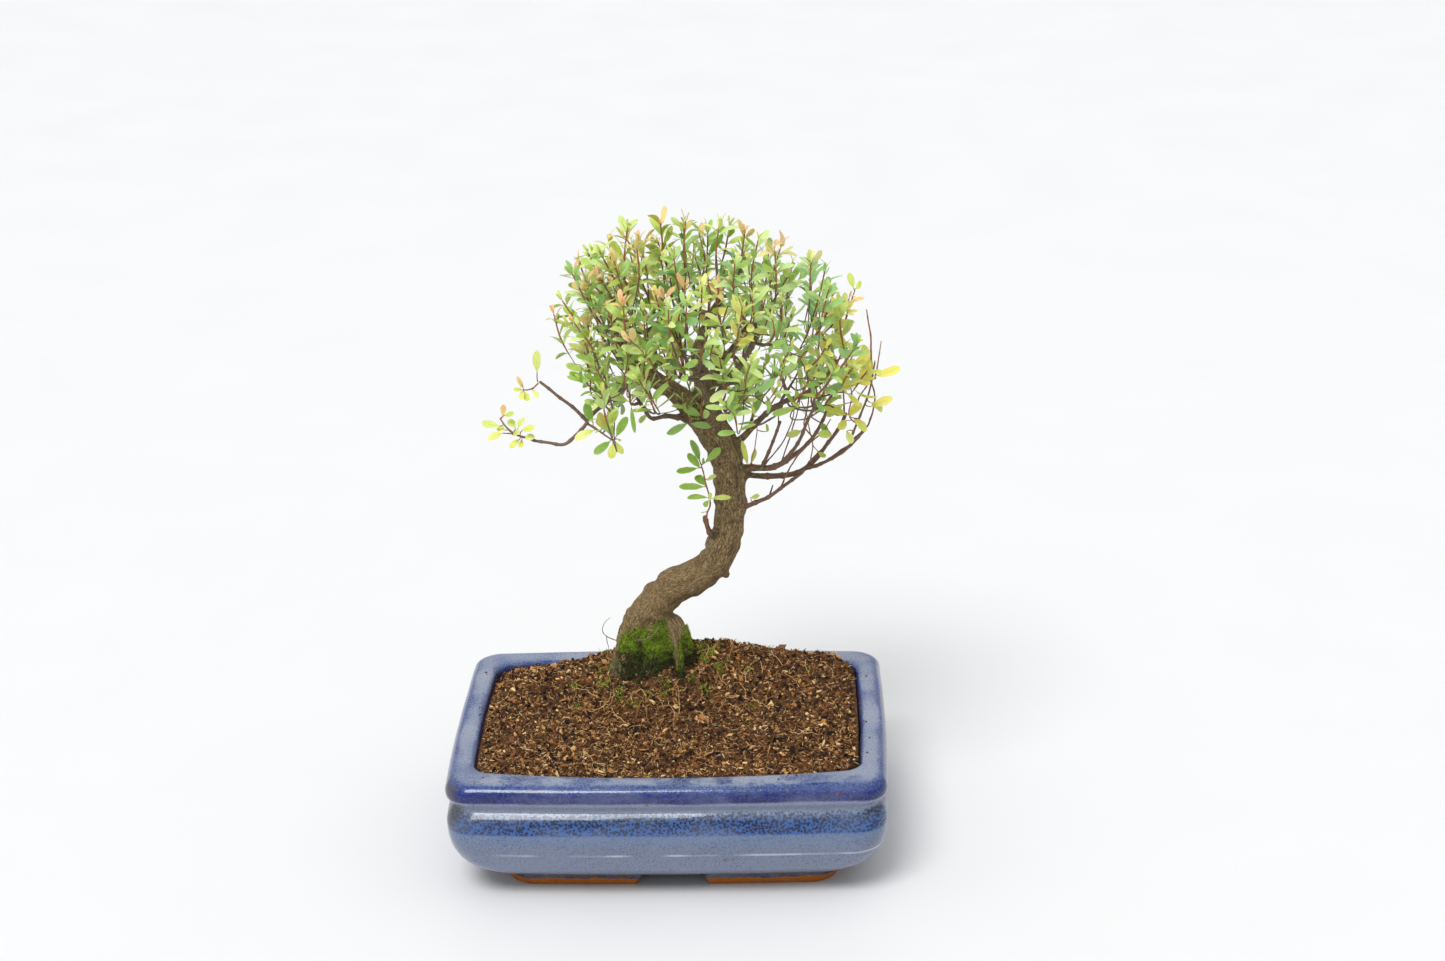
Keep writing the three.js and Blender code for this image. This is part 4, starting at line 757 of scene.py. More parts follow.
    # the inner wall is dark and the underside of the feet is bare clay
    inside = m.math("MULTIPLY", m.remap(z, 57.2, 58.4, 1, 0, True), 1.0)
    ax = m.math("ABSOLUTE", x)
    ay = m.math("ABSOLUTE", y)
    ins = m.math("MULTIPLY", m.remap(ax, 88.5, 90.5, 1, 0, True), m.remap(ay, 66.4, 68.2, 1, 0, True))
    ins = m.math("MULTIPLY", ins, inside)
    above = m.remap(z, 12, 13, 0, 1)
    base = m.mix(m.math("MULTIPLY", ins, above), base, (0.010, 0.022, 0.085))
    edge = m.math("ADD", 3.6, m.math("MULTIPLY", m.math("SUBTRACT", m.noise(m.coord((0.10, 0.10, 0.0)), 1.0, 2.0), 0.5), 3.2))
    clay_f = m.remap(m.math("SUBTRACT", z, edge), -0.25, 0.25, 1.0, 0.0, True)
    clay = m.ramp(m.noise(m.coord(), 1.2, 4.0, 0.65), [(0.3, (0.30, 0.078, 0.005)), (0.7, (0.54, 0.165, 0.010))])
    base = m.mix(clay_f, base, clay)
    rough = m.mix(clay_f, (0.13, 0.13, 0.13), (0.8, 0.8, 0.8))
    rough = m.mix(m.math("MULTIPLY", band1, 0.65), rough, (0.36, 0.36, 0.36))
    rough = m.mix(m.math("MULTIPLY", rmask, 0.6), rough, (0.5, 0.5, 0.5))
    h = m.math("ADD", m.math("MULTIPLY", dots, m.math("MULTIPLY", thick, -0.5)), m.math("MULTIPLY", m.noise(m.coord(), 0.35, 2.0), 0.8))
    h = m.math("SUBTRACT", h, m.math("MULTIPLY", rmask, 0.8))
    grain = m.math("MULTIPLY", clay_f, m.math("MULTIPLY", m.noise(m.coord(), 2.2, 3.0, 0.7), 2.0))
    h = m.math("ADD", h, grain)
    m.set(Base_Color=base, Roughness=rough, Normal=m.bump(h, 0.00018, 0.7))
    m.set(Coat_Weight=0.35, Coat_Roughness=0.03, IOR=1.45)
    m.bsdf.inputs["Specular IOR Level"].default_value = 0.38
    m.bsdf.inputs["Coat IOR"].default_value = 1.5
    return m.m


# ------------------------------------------------------------------ wood
class Flow:
    """Coordinates that run along the grain of the nearest limb."""

    def __init__(self, lines):
        c, a, b, s, r, t = [], [], [], [], [], []
        off = 0.0
        for p in lines:
            q = catmull(p, step=1.0)
            tt, aa, bb = frames_along(q[:, :3])
            ss = np.concatenate([[0], np.cumsum(np.linalg.norm(np.diff(q[:, :3], axis=0), axis=1))]) + off
            off += 97.0
            c.append(q[:, :3]); a.append(aa); b.append(bb); s.append(ss); r.append(q[:, 3]); t.append(tt)
        self.c, self.a, self.b = np.vstack(c), np.vstack(a), np.vstack(b)
        self.t = np.vstack(t)
        self.s, self.r = np.concatenate(s), np.concatenate(r)
        self.main = np.concatenate([np.full(len(q), k == 0) for k, q in enumerate(c)])

    def __call__(self, v):
        from mathutils.kdtree import KDTree
        kd = KDTree(len(self.c))
        for i, q in enumerate(self.c):
            kd.insert(q, i)
        kd.balance()
        n_main = int(self.main.sum())
        trunk = KDTree(n_main)
        for i in range(n_main):
            trunk.insert(self.c[i], i)
        trunk.balance()
        idx = np.empty(len(v), np.int64)
        for i, q in enumerate(v):
            best = None
            for co, j, d in kd.find_n(q, 6) + [trunk.find(q)]:
                e = d - self.r[j]
                if self.main[j] and e < 1.4:
                    e -= 6.0
                if best is None or e < best[0]:
                    best = (e, j)
            idx[i] = best[1]
        d = v - self.c[idx]
        s = self.s[idx] + (d * self.t[idx]).sum(1)
        return np.column_stack([(d * self.a[idx]).sum(1), (d * self.b[idx]).sum(1), s]), self.r[idx], idx


def remesh(ob, voxel):
    mod = ob.modifiers.new("remesh", "REMESH")
    mod.mode = "VOXEL"
    mod.voxel_size = voxel * MM
    mod.adaptivity = 0.0
    mod.use_smooth_shade = True
    dg = bpy.context.evaluated_depsgraph_get()
    me = bpy.data.meshes.new_from_object(ob.evaluated_get(dg))
    old = ob.data
    ob.modifiers.clear()
    ob.data = me
    bpy.data.meshes.remove(old)
    return me


def co_of(me):
    a = np.empty(len(me.vertices) * 3, np.float32)
    me.vertices.foreach_get("co", a)
    return a.reshape(-1, 3).astype(float) / MM


def normals_of(me):
    a = np.empty(len(me.vertices) * 3, np.float32)
    me.vertex_normals.foreach_get("vector", a)
    return a.reshape(-1, 3).astype(float)


def relax(me, v, times, keep=0.5):
    e = np.empty(len(me.edges) * 2, np.int32)
    me.edges.foreach_get("vertices", e)
    e = e.reshape(-1, 2)
    deg = np.bincount(e.ravel(), minlength=len(v)).astype(float)[:, None]
    for _ in range(times):
        acc = np.zeros_like(v)
        for k in range(3):
            acc[:, k] = np.bincount(e[:, 0], v[e[:, 1], k], len(v)) + np.bincount(e[:, 1], v[e[:, 0], k], len(v))
        v = v * keep + acc / deg * (1 - keep)
    return v


def write_co(me, v):
    me.vertices.foreach_set("co", (v * MM).astype(np.float32).ravel())
    me.update()


THIN = 1.25  # limbs whose tips are thinner than this keep their own tube


def lumpy(seed, amount=0.05):
    def w(n, sides):
        th = np.linspace(0, 2 * np.pi, sides, endpoint=False)
        i, j = np.meshgrid(np.arange(n), th, indexing="ij")
        p = np.stack([np.cos(j).ravel() * 1.1, np.sin(j).ravel() * 1.1, i.ravel() * 0.22], 1)
        return 1 + amount * 1.6 * vnoise(p, seed).reshape(n, sides)
    return w


def wood_line(name, pts, step):
    """A limb as fine points x, y, z, r; the low and outer limbs are slimmer than their collision shapes."""
    q = catmull(pts, step=step)
    if name.startswith(("low_", "whip", "under")):
        q[:, 3] = np.where(q[:, 3] > 2.4, q[:, 3] - 0.75, q[:, 3] * 0.69)
    if name == "limb_right":
        q[:, 3] = np.maximum(q[:, 3] * np.interp(np.arange(len(q)) * step, [0, 8, 30], [0.8, 0.56, 0.5]), 0.6)
    return q


def make_wood(extra_twigs):
    """Trunk, roots and limbs, blended where they join."""
    s = Soup()
    thick_lines = []
    for i, (name, pts) in enumerate(WOOD.items()):
        q = wood_line(name, pts, 0.8 if name in ("trunk",) else 0.7)
        thick = q[:, 3] > THIN
        if thick.sum() < 4:
            continue
        q = q[: int(np.max(np.where(thick)[0])) + 1]
        thick_lines.append(np.asarray(pts, float))
        sides = 56 if name == "trunk" else (36 if q[:, 3].max() > 5 else 22)
        tube(s, q[:, :3], q[:, 3] * (1.0 if name == "trunk" else 1.0), sides, lumpy(40 + i, 0.07 if name == "trunk" else 0.06))
    # knobs, scars and small root ridges
    for (x, y, z), r in KNOBS:
        th = np.array([[x, y, z - r * 0.7], [x, y, z], [x, y, z + r * 0.7]])
        tube(s, th, [r * 0.7, r, r * 0.7], 14)
    for pts in RIDGES:
        q = catmull(pts, step=0.6)
        tube(s, q[:, :3], q[:, 3], 12, lumpy(91, 0.1))
    ob = s.build("wood_core", bark_material())
    me = remesh(ob, 0.62)
    v = co_of(me)
    v = relax(me, v, 5, 0.45)
    flow_of = Flow(thick_lines)
    flow, rad, idx = flow_of(v)
    write_co(me, v)
    nrm = normals_of(me)
    low = smoothstep(100, 70, v[:, 2])  # the foot is rougher
    g = np.column_stack([flow[:, 0] * 1.0, flow[:, 1] * 1.0, flow[:, 2] * 0.16])
    fiss = fnoise(g * 0.62, 3, 0.55, 5)
    ridge = -np.abs(fiss) ** 0.8 + 0.42
    broad = fnoise(v / 9.0, 3, 0.5, 12)
    size = np.clip(rad / 8.0, 0.15, 1.0)
    bark = np.clip(smoothstep(105, 150, v[:, 2]) + low * 0.8, 0.25, 1)
    disp = size * (0.42 * ridge * bark + 0.5 * broad) + 0.10 * fnoise(v / 1.7, 2, 0.5, 30) * size ** 0.5
    disp += low * 0.7 * fnoise(v / 4.2, 3, 0.6, 44)
    v2 = v + nrm * disp[:, None]
    write_co(me, v2)
    me.polygons.foreach_set("use_smooth", np.ones(len(me.polygons), bool))
    me.attributes.new("flow", "FLOAT_VECTOR", "POINT").data.foreach_set("vector", flow.astype(np.float32).ravel())
    me.attributes.new("girth", "FLOAT", "POINT").data.foreach_set("value", rad.astype(np.float32))
    me.attributes.new("crack", "FLOAT", "POINT").data.foreach_set("value", (ridge * bark).astype(np.float32))
    ob.name = "trunk_and_limbs"
    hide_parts("tree_wood")
    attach(ob, "root")
    # twigs keep their own thin tubes
    t = Soup()
    for i, (pts, young) in enumerate(extra_twigs):
        q = np.asarray(pts, float)
        n = len(q)
        age = np.full(n, young) if np.isscalar(young) else np.asarray(young)
        nodes = 1 + 0.28 * np.exp(-((np.arange(n) % 7) - 3.0) ** 2 / 0.6)
        tube(t, q[:, :3], q[:, 3] * nodes, 10 if q[:, 3].max() > 0.7 else 7,
             young=np.repeat(0.0, 1)[0] + float(np.mean(age)))
    tw = t.build("twigs", twig_material())
    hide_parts("tree_wood")
    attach(tw, "root")
    return ob, v2, nrm


def bark_material():
    m = Mat("bark")
    flow = m.attr("flow", True)
    mp = m.node("ShaderNodeMapping")
    m.put(mp.inputs["Vector"], flow)
    mp.inputs["Scale"].default_value = (1, 1, 0.24)
    g = mp.outputs[0]
    mp2 = m.node("ShaderNodeMapping")
    m.put(mp2.inputs["Vector"], flow)
    mp2.inputs["Scale"].default_value = (1, 1, 0.42)
    p = m.coord()
    x, y, z = m.separate(p)
    fiss = m.noise(g, 1.9, 5.0, 0.66, 0.3)
    plates = m.voronoi(g, 0.62, "F1")
    grit = m.noise(p, 2.6, 4.0, 0.7)
    tone = m.math("ADD", m.math("MULTIPLY", fiss, 0.62), m.math("MULTIPLY", grit, 0.38))
    base = m.ramp(tone, [(0.34, (0.040, 0.025, 0.011)), (0.43, (0.15, 0.098, 0.040)), (0.51, (0.37, 0.255, 0.110)), (0.60, (0.66, 0.49, 0.245)), (0.72, (0.86, 0.69, 0.42))])
    # the smooth reddish lower bend
    red = m.math("MULTIPLY", m.remap(z, 96, 108, 0, 1, True), m.remap(z, 122, 140, 1, 0, True))
    red = m.math("MULTIPLY", red, m.remap(m.noise(m.coord((0.12, 0.12, 0.12)), 1.0, 3.0), 0.3, 0.7, 0.3, 1.0))
    base = m.mix(m.math("MULTIPLY", red, 0.40), base, (0.47, 0.275, 0.130))
    # short fine splits along the grain
    split = m.remap(m.noise(g, 3.6, 3.0, 0.6, 0.2), 0.47, 0.40, 0.0, 1.0, True)
    base = m.mix(m.math("MULTIPLY", split, 0.62), base, (0.045, 0.028, 0.014))
    lich = m.remap(m.noise(m.coord((0.22, 0.22, 0.16)), 1.0, 4.0, 0.6), 0.56, 0.72, 0.0, 0.45, True)
    base = m.mix(lich, base, (0.42, 0.36, 0.21))
    # darker towards the bottoms of the bark's fissures
    crack = m.attr("crack")
    base = m.mix(m.remap(crack, 0.16, -0.25, 0.0, 0.55), base, (0.035, 0.025, 0.018))
    # damp green film on the foot
    foot = m.remap(z, 70.0, 93.0, 1.0, 0.0, True)
    gm = m.math("MULTIPLY", foot, m.remap(m.noise(m.coord((0.18, 0.18, 0.18)), 1.0, 4.0, 0.65), 0.36, 0.60, 0.0, 1.0, True))
    base = m.mix(m.math("MULTIPLY", gm, 0.75), base, m.ramp(grit, [(0.3, (0.020, 0.040, 0.010)), (0.75, (0.10, 0.17, 0.03))]))
    # thin limbs are darker and greyer
    thin = m.remap(m.attr("girth"), 1.6, 5.5, 1.0, 0.0)
    base = m.mix(m.math("MULTIPLY", thin, 0.45), base, (0.13, 0.09, 0.062))
    h = m.math("ADD", m.math("MULTIPLY", fiss, 1.0), m.math("MULTIPLY", grit, 0.35))
    h = m.math("ADD", h, m.math("MULTIPLY", plates, 0.35))
    h = m.math("SUBTRACT", h, m.math("MULTIPLY", split, 0.35))
    m.set(Base_Color=base, Roughness=m.remap(grit, 0.3, 0.8, 0.72, 0.95), Normal=m.bump(h, 0.0012, 1.0))
    m.bsdf.inputs["Specular IOR Level"].default_value = 0.35
    return m.m


def twig_material():
    m = Mat("twig_bark")
    p = m.coord()
    young = m.attr("young")
    grit = m.noise(p, 1.3, 4.0, 0.65)
    rings = m.noise(m.coord((0.5, 0.5, 1.6)), 1.0, 3.0)
    old = m.ramp(grit, [(0.3, (0.060, 0.042, 0.032)), (0.55, (0.145, 0.105, 0.078)), (0.8, (0.27, 0.21, 0.16))])
    new = m.ramp(rings, [(0.3, (0.20, 0.065, 0.022)), (0.55, (0.36, 0.13, 0.045)), (0.8, (0.50, 0.24, 0.085))])
    base = m.mix(young, old, new)
    m.set(Base_Color=base, Roughness=m.remap(grit, 0.3, 0.8, 0.5, 0.85), Normal=m.bump(m.math("ADD", grit, rings), 0.00018, 0.7))
    return m.m


# knobs and scars: centre, radius
KNOBS = [((12.6, 25.5, 127.2), 1.8), ((26.2, 26.5, 119.5), 1.9), ((2.7, 29.5, 120.3), 1.4), ((37.0, 20.5, 192.0), 1.6), ((17.5, 17.5, 203.0), 2.2), ((27.5, 19.0, 205.0), 1.8),
         ((33.5, 26.5, 171.0), 2.6), ((-24.0, 16.5, 252.0), 3.0), ((-2.0, 18.0, 229.0), 2.4)]
# ridges of root bark: (x, y, z, radius)
RIDGES = [
    [(-19.5, 29, 100, 2.4), (-23.0, 28, 88, 3.2), (-25.6, 27, 76, 3.3), (-28, 26, 66, 3.0), (-30, 25, 58, 2.4)],
    [(0.2, 22.5, 93, 1.0), (2.3, 19.3, 84.2, 1.5), (3.4, 17.6, 76, 1.6), (4.4, 15.6, 68, 1.4), (6, 13, 60, 1.0)],
    [(-9, 22.5, 92, 1.5), (-9.5, 20.3, 82, 1.7), (-12, 18, 72, 1.6), (-15, 15, 64, 1.3), (-18, 12.5, 58, 1.0)],
    [(2.5, 31, 90, 3.2), (4.4, 29, 82, 3.8), (5.2, 27.5, 74, 4.0), (6, 26, 66, 3.6), (8, 24, 58, 2.5)],
    [(-16.5, 27, 99, 4.2), (-18.0, 26.5, 88, 5.8), (-19.0, 25.5, 76, 6.6), (-20, 24.5, 64, 6.6), (-21, 24, 56, 5.5)],
    [(-9.5, 26.0, 92, 5.0), (-9.0, 25.0, 82, 6.2), (-8.5, 24.0, 72, 6.6), (-8, 23.0, 62, 6.4)],
    [(-17, 40, 92, 2.2), (-20, 43, 80, 2.4), (-24, 46, 68, 2.0), (-28, 49, 60, 1.4)],
]


# ------------------------------------------------------------------ soil
def soil_top(x, y):
    edge = 1 - smoothstep(0.86, 0.985, np.maximum(np.abs(x) / 88, np.abs(y) / 66))
    mound = 13.0 * np.exp(-(((x - 14) / 62) ** 2) - (((y - 52) / 30) ** 2)) * edge
    dip = 3.5 * np.exp(-(((x + 72) / 24) ** 2) - (((y - 56) / 18) ** 2))
    heap = 12.0 * np.exp(-(((x + 5) / 27) ** 2) - (((y - 29) / 17) ** 2)) * edge
    rise = 1.6 * smoothstep(-30, 45, y) * edge
    collar = 5.0 * np.exp(-(((x + 8) / 17) ** 2) - (((y - 17) / 8) ** 2)) * edge
    return 57 + mound - dip + heap + rise + collar


def soil_height(x, y):
    x, y = np.asarray(x, float), np.asarray(y, float)
    p = np.stack([x, y, np.zeros_like(x)], -1).reshape(-1, 3)
    n = 1.5 * fnoise(p / 9.0, 3, 0.55, 61) + 2.5 * np.abs(fnoise(p / 2.6, 3, 0.6, 62)) + 0.6 * fnoise(p / 1.1, 2, 0.6, 63)
    return soil_top(x, y) + n.reshape(x.shape) - 0.30


def make_soil():
    s = Soup()
    rows = []
    depth = np.concatenate([np.arange(0, 56, 0.62)])
    for d in depth:
        k = min(1.0, d / 56)
        hx, hy = 87.1 - 0.15 - d, 58.0 - 0.15 - d * 0.985
        hy = max(hy, 1.5)
        rows.append(ring(hx, hy, max(1.0, 8 + d * 0.25), 1.3, 7.5 * (1 - k) + 0.2, 34, 96, 58))
    n = len(rows[0])
    xy = np.array(rows)
    z = soil_height(xy[..., 0], xy[..., 1])
    # the soil shrinks back and crumbles at the pot wall
    z -= (np.exp(-depth / 0.9) * 0.25)[:, None]
    top = np.concatenate([xy, z[..., None]], -1)
    skirt = np.concatenate([xy[0], np.full((n, 1), 48.0)], 1)
    v = np.vstack([skirt[None], top]).reshape(-1, 3)
    m = len(rows) + 1
    i = np.arange(m - 1)[:, None] * n
    j = np.arange(n)[None, :]
    k = (j + 1) % n
    quads = np.stack([i + j, i + k, i + n + k, i + n + j], -1).reshape(-1, 4)
    # close the ridge line in the middle and the bottom
    last = (m - 1) * n
    c = v[last:last + n].mean(0)
    v = np.vstack([v, c[None], [[0, 0, 48.0]]])
    j = np.arange(n)
    k = (j + 1) % n
    tris = np.vstack([np.stack([last + j, last + k, np.full(n, m * n)], 1), np.stack([k, j, np.full(n, m * n + 1)], 1)])
    s.add(v, {4: quads, 3: tris})
    ob = s.build("soil_bed", soil_material())
    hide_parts("soil")
    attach(ob, "root")


def soil_material():
    m = Mat("potting_soil")
    p = m.coord()
    clod = m.noise(p, 0.35, 5.0, 0.65)
    fib = m.noise(p, 1.7, 4.0, 0.7, 1.2)
    cell = m.voronoi(p, 0.9, "F1")
    tone = m.math("ADD", m.math("MULTIPLY", clod, 0.45), m.math("MULTIPLY", fib, 0.55))
    base = m.ramp(tone, [(0.30, (0.014, 0.008, 0.005)), (0.42, (0.055, 0.026, 0.012)), (0.52, (0.150, 0.072, 0.030)), (0.64, (0.29, 0.150, 0.062)), (0.80, (0.50, 0.30, 0.14))])
    h = m.math("ADD", fib, m.math("MULTIPLY", cell, -0.6))
    m.set(Base_Color=base, Roughness=m.remap(fib, 0.2, 0.8, 0.80, 1.0), Normal=m.bump(h, 0.0012, 1.0))
    m.bsdf.inputs["Specular IOR Level"].default_value = 0.25
    return m.m


def litter_material():
    m = Mat("soil_litter")
    p = m.coord()
    tone = m.attr("tone")
    grit = m.noise(p, 2.4, 4.0, 0.7)
    t = m.math("ADD", tone, m.math("MULTIPLY", m.math("SUBTRACT", grit, 0.5), 0.35))
    base = m.ramp(t, [(0.0, (0.012, 0.006, 0.004)), (0.24, (0.060, 0.022, 0.009)), (0.48, (0.21, 0.085, 0.028)), (0.68, (0.43, 0.205, 0.066)), (0.86, (0.70, 0.43, 0.16)), (1.0, (0.86, 0.66, 0.36))])
    m.set(Base_Color=base, Roughness=m.remap(grit, 0.2, 0.8, 0.7, 0.98), Normal=m.bump(grit, 0.0003, 0.8))
    m.bsdf.inputs["Specular IOR Level"].default_value = 0.25
    return m.m


ICO = None


def ico():
    global ICO
    if ICO is None:
        t = (1 + 5 ** 0.5) / 2
        v = unit(np.array([(-1, t, 0), (1, t, 0), (-1, -t, 0), (1, -t, 0), (0, -1, t), (0, 1, t), (0, -1, -t), (0, 1, -t), (t, 0, -1), (t, 0, 1), (-t, 0, -1), (-t, 0, 1)], float))
        f = np.array([(0, 11, 5), (0, 5, 1), (0, 1, 7), (0, 7, 10), (0, 10, 11), (1, 5, 9), (5, 11, 4), (11, 10, 2), (10, 7, 6), (7, 1, 8), (3, 9, 4), (3, 4, 2), (3, 2, 6), (3, 6, 8), (3, 8, 9), (4, 9, 5), (2, 4, 11), (6, 2, 10), (8, 6, 7), (9, 8, 1)])
        ICO = (v, f)
    return ICO


def rand_rot(rng, flat=0.0):
    """A random rotation; flat near 1 keeps the local z axis upright."""
    q = rng.normal(size=3)
    q[:2] *= (1 - flat)
    zax = unit(np.array([q[0], q[1], abs(q[2]) + flat * 1.5 + 1e-3]))
    a = rng.uniform(0, 2 * np.pi)
    x = unit(np.cross(zax, [math.cos(a), math.sin(a), 0.123]))
    return np.stack([x, np.cross(zax, x), zax], 1)


def in_mouth(x, y, inset=0.0):
    hy = 58.0 + 7.5 * (1 - np.minimum(1, np.abs(x) / 87.0) ** 2) - inset
    return (np.abs(x) < 86.8 - inset) & (np.abs(y) < hy) & ((np.abs(x) < 80 - inset) | (np.abs(y) < 51) | (np.hypot(np.abs(x) - 79, np.abs(y) - 51.5) < 7.8 - inset))


def make_litter():
    rng = np.random.default_rng(77)
    s = Soup()
    iv, ifc = ico()
    spindle_v = np.array([(1, 0, 0), (0.45, 1, 0.15), (0.5, -0.4, 0.9), (0.5, -0.6, -0.8), (-0.5, 0.9, -0.1), (-0.45, -0.3, 0.9), (-0.5, -0.5, -0.8), (-1, 0, 0)], float)
    spindle_f = np.array([(0, 1, 2), (0, 2, 3), (0, 3, 1), (1, 4, 5), (1, 5, 2), (2, 5, 6), (2, 6, 3), (3, 6, 4), (3, 4, 1), (7, 5, 4), (7, 6, 5), (7, 4, 6)])

    def spot(inset=0.0):
        while True:
            x, y = rng.uniform(-87, 87), rng.uniform(-66, 66)
            if in_mouth(x, y, inset) and math.hypot((x + 9) / 1.25, y - 33) > 14.5:
                return x, y

    kinds = ([("fibre", 15000), ("crumb", 11500), ("chip", 120)])
    for kind, count in kinds:
        xs, ys = zip(*[spot() for _ in range(count)])
        zs = soil_height(np.array(xs), np.array(ys))
        for x, y, z in zip(xs, ys, zs):
            if kind == "fibre":
                big = rng.random() < 0.12
                ln = rng.uniform(2.4, 5.2) if big else rng.uniform(0.8, 2.6)
                w = rng.uniform(0.09, 0.22)
                v = spindle_v * [ln / 2 * 1.25, w, w * 0.7]
                v[:, 2] += rng.normal() * 0.22 * v[:, 0] ** 2 / (ln / 2)
                tone = np.clip(rng.normal(0.50, 0.34), 0, 1.0)
                f = spindle_f
                up = rng.uniform(-0.1, 0.9)
                r = rand_rot(rng, 0.45)
            elif kind == "crumb":
                a = float(np.clip(0.56 * math.exp(0.40 * rng.normal()), 0.25, 1.7))
                v = iv * (1 + 0.34 * rng.normal(size=(12, 1))) * [a * rng.uniform(1.0, 1.7), a * rng.uniform(0.6, 1), a * rng.uniform(0.35, 0.7)]
                tone = np.clip(rng.normal(0.31, 0.31), 0, 0.95)
                f = ifc
                up = a * rng.uniform(0.1, 0.6)
                r = rand_rot(rng, 0.15)
            else:
                a, b, c = rng.uniform(0.9, 2.0), rng.uniform(0.45, 0.95), rng.uniform(0.16, 0.34)
                v = iv * (1 + 0.16 * rng.normal(size=(12, 1)))
                v = np.clip(v, -0.72, 0.72) * [a * 1.3, b * 1.3, c * 1.3]
                v[:, 2] += 0.12 * v[:, 0] ** 2 / a
                tone = rng.uniform(0.68, 0.95) if rng.random() < 0.5 else rng.uniform(0.4, 0.65)
                f = ifc
                up = rng.uniform(0.3, 0.8)
                r = rand_rot(rng, 0.75)
            s.add(v @ r.T + [x, y, z + up], {3: f}, tone=tone)
    # crumbs that landed on the rim
    for _ in range(26):
        side = rng.integers(0, 4)
        if side == 0:
            x, y = rng.uniform(-85, 85), -rng.uniform(66.5, 71)
        elif side == 1:
            x, y = rng.uniform(-80, 80), rng.uniform(66.5, 71)
        else:
            x, y = (1 if side == 2 else -1) * rng.uniform(89, 94), rng.uniform(-55, 60)
        a = rng.uniform(0.25, 0.7)
        v = iv * (1 + 0.25 * rng.normal(size=(12, 1))) * [a * 1.2, a, a * 0.6]
        s.add(v @ rand_rot(rng, 0.4).T + [x, y, 59.0 + a * 0.3], {3: ifc}, tone=rng.uniform(0.1, 0.45))
    # fine roots that surfaced
    for i in range(150):
        if i < 80:
            a = rng.uniform(-2.9, 0.2)
            rr = rng.uniform(17, 46)
            x, y = -9 + math.cos(a) * rr * 1.2, 30 + math.sin(a) * rr
            if not in_mouth(np.array(x), np.array(y), 2):
                x, y = spot(2)
        else:
            x, y = spot(2)
        ang = rng.uniform(0, 2 * np.pi)
        ln = rng.uniform(5, 22)
        n = 12
        curl = rng.normal() * 0.16
        pts = []
        px, py = x, y
        for k in range(n):
            pts.append((px, py))
            ang += curl + rng.normal() * 0.13
            px += math.cos(ang) * ln / n
            py += math.sin(ang) * ln / n
        pts = np.array(pts)
        ok = in_mouth(pts[:, 0], pts[:, 1], 1.0)
        if ok.sum() < n:
            continue
        z = soil_height(pts[:, 0], pts[:, 1])
        lift = rng.uniform(0.25, 1.6) * np.sin(np.linspace(0, np.pi, n)) + 0.35
        q = catmull(np.column_stack([pts, z + lift]), count=18)
        r0 = rng.uniform(0.10, 0.21)
        tube(s, q, np.linspace(r0, r0 * 0.5, len(q)), 5, tone=rng.uniform(0.55, 0.92))
    ob = s.build("soil_litter", litter_material())
    ob.data.set_sharp_from_angle(angle=math.radians(38))
    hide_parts("soil")
    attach(ob, "root")


# ------------------------------------------------------------------ moss
def moss_material():
    m = Mat("moss")
    tone = m.attr("tone")
    p = m.coord()
    grit = m.noise(p, 1.1, 3.0, 0.6)
    t = m.math("ADD", tone, m.math("MULTIPLY", m.math("SUBTRACT", grit, 0.5), 0.3))
    base = m.ramp(t, [(0.0, (0.026, 0.028, 0.013)), (0.22, (0.060, 0.070, 0.022)), (0.45, (0.115, 0.18, 0.016)), (0.7, (0.24, 0.39, 0.018)), (1.0, (0.48, 0.60, 0.07))])
    m.set(Base_Color=base, Roughness=m.remap(grit, 0.2, 0.8, 0.75, 0.95), Normal=m.bump(grit, 0.0004, 0.6))
    m.bsdf.inputs["Subsurface Weight"].default_value = 0.15
    m.bsdf.inputs["Subsurface Scale"].default_value = 0.001
    m.bsdf.inputs["Specular IOR Level"].default_value = 0.3
    return m.m


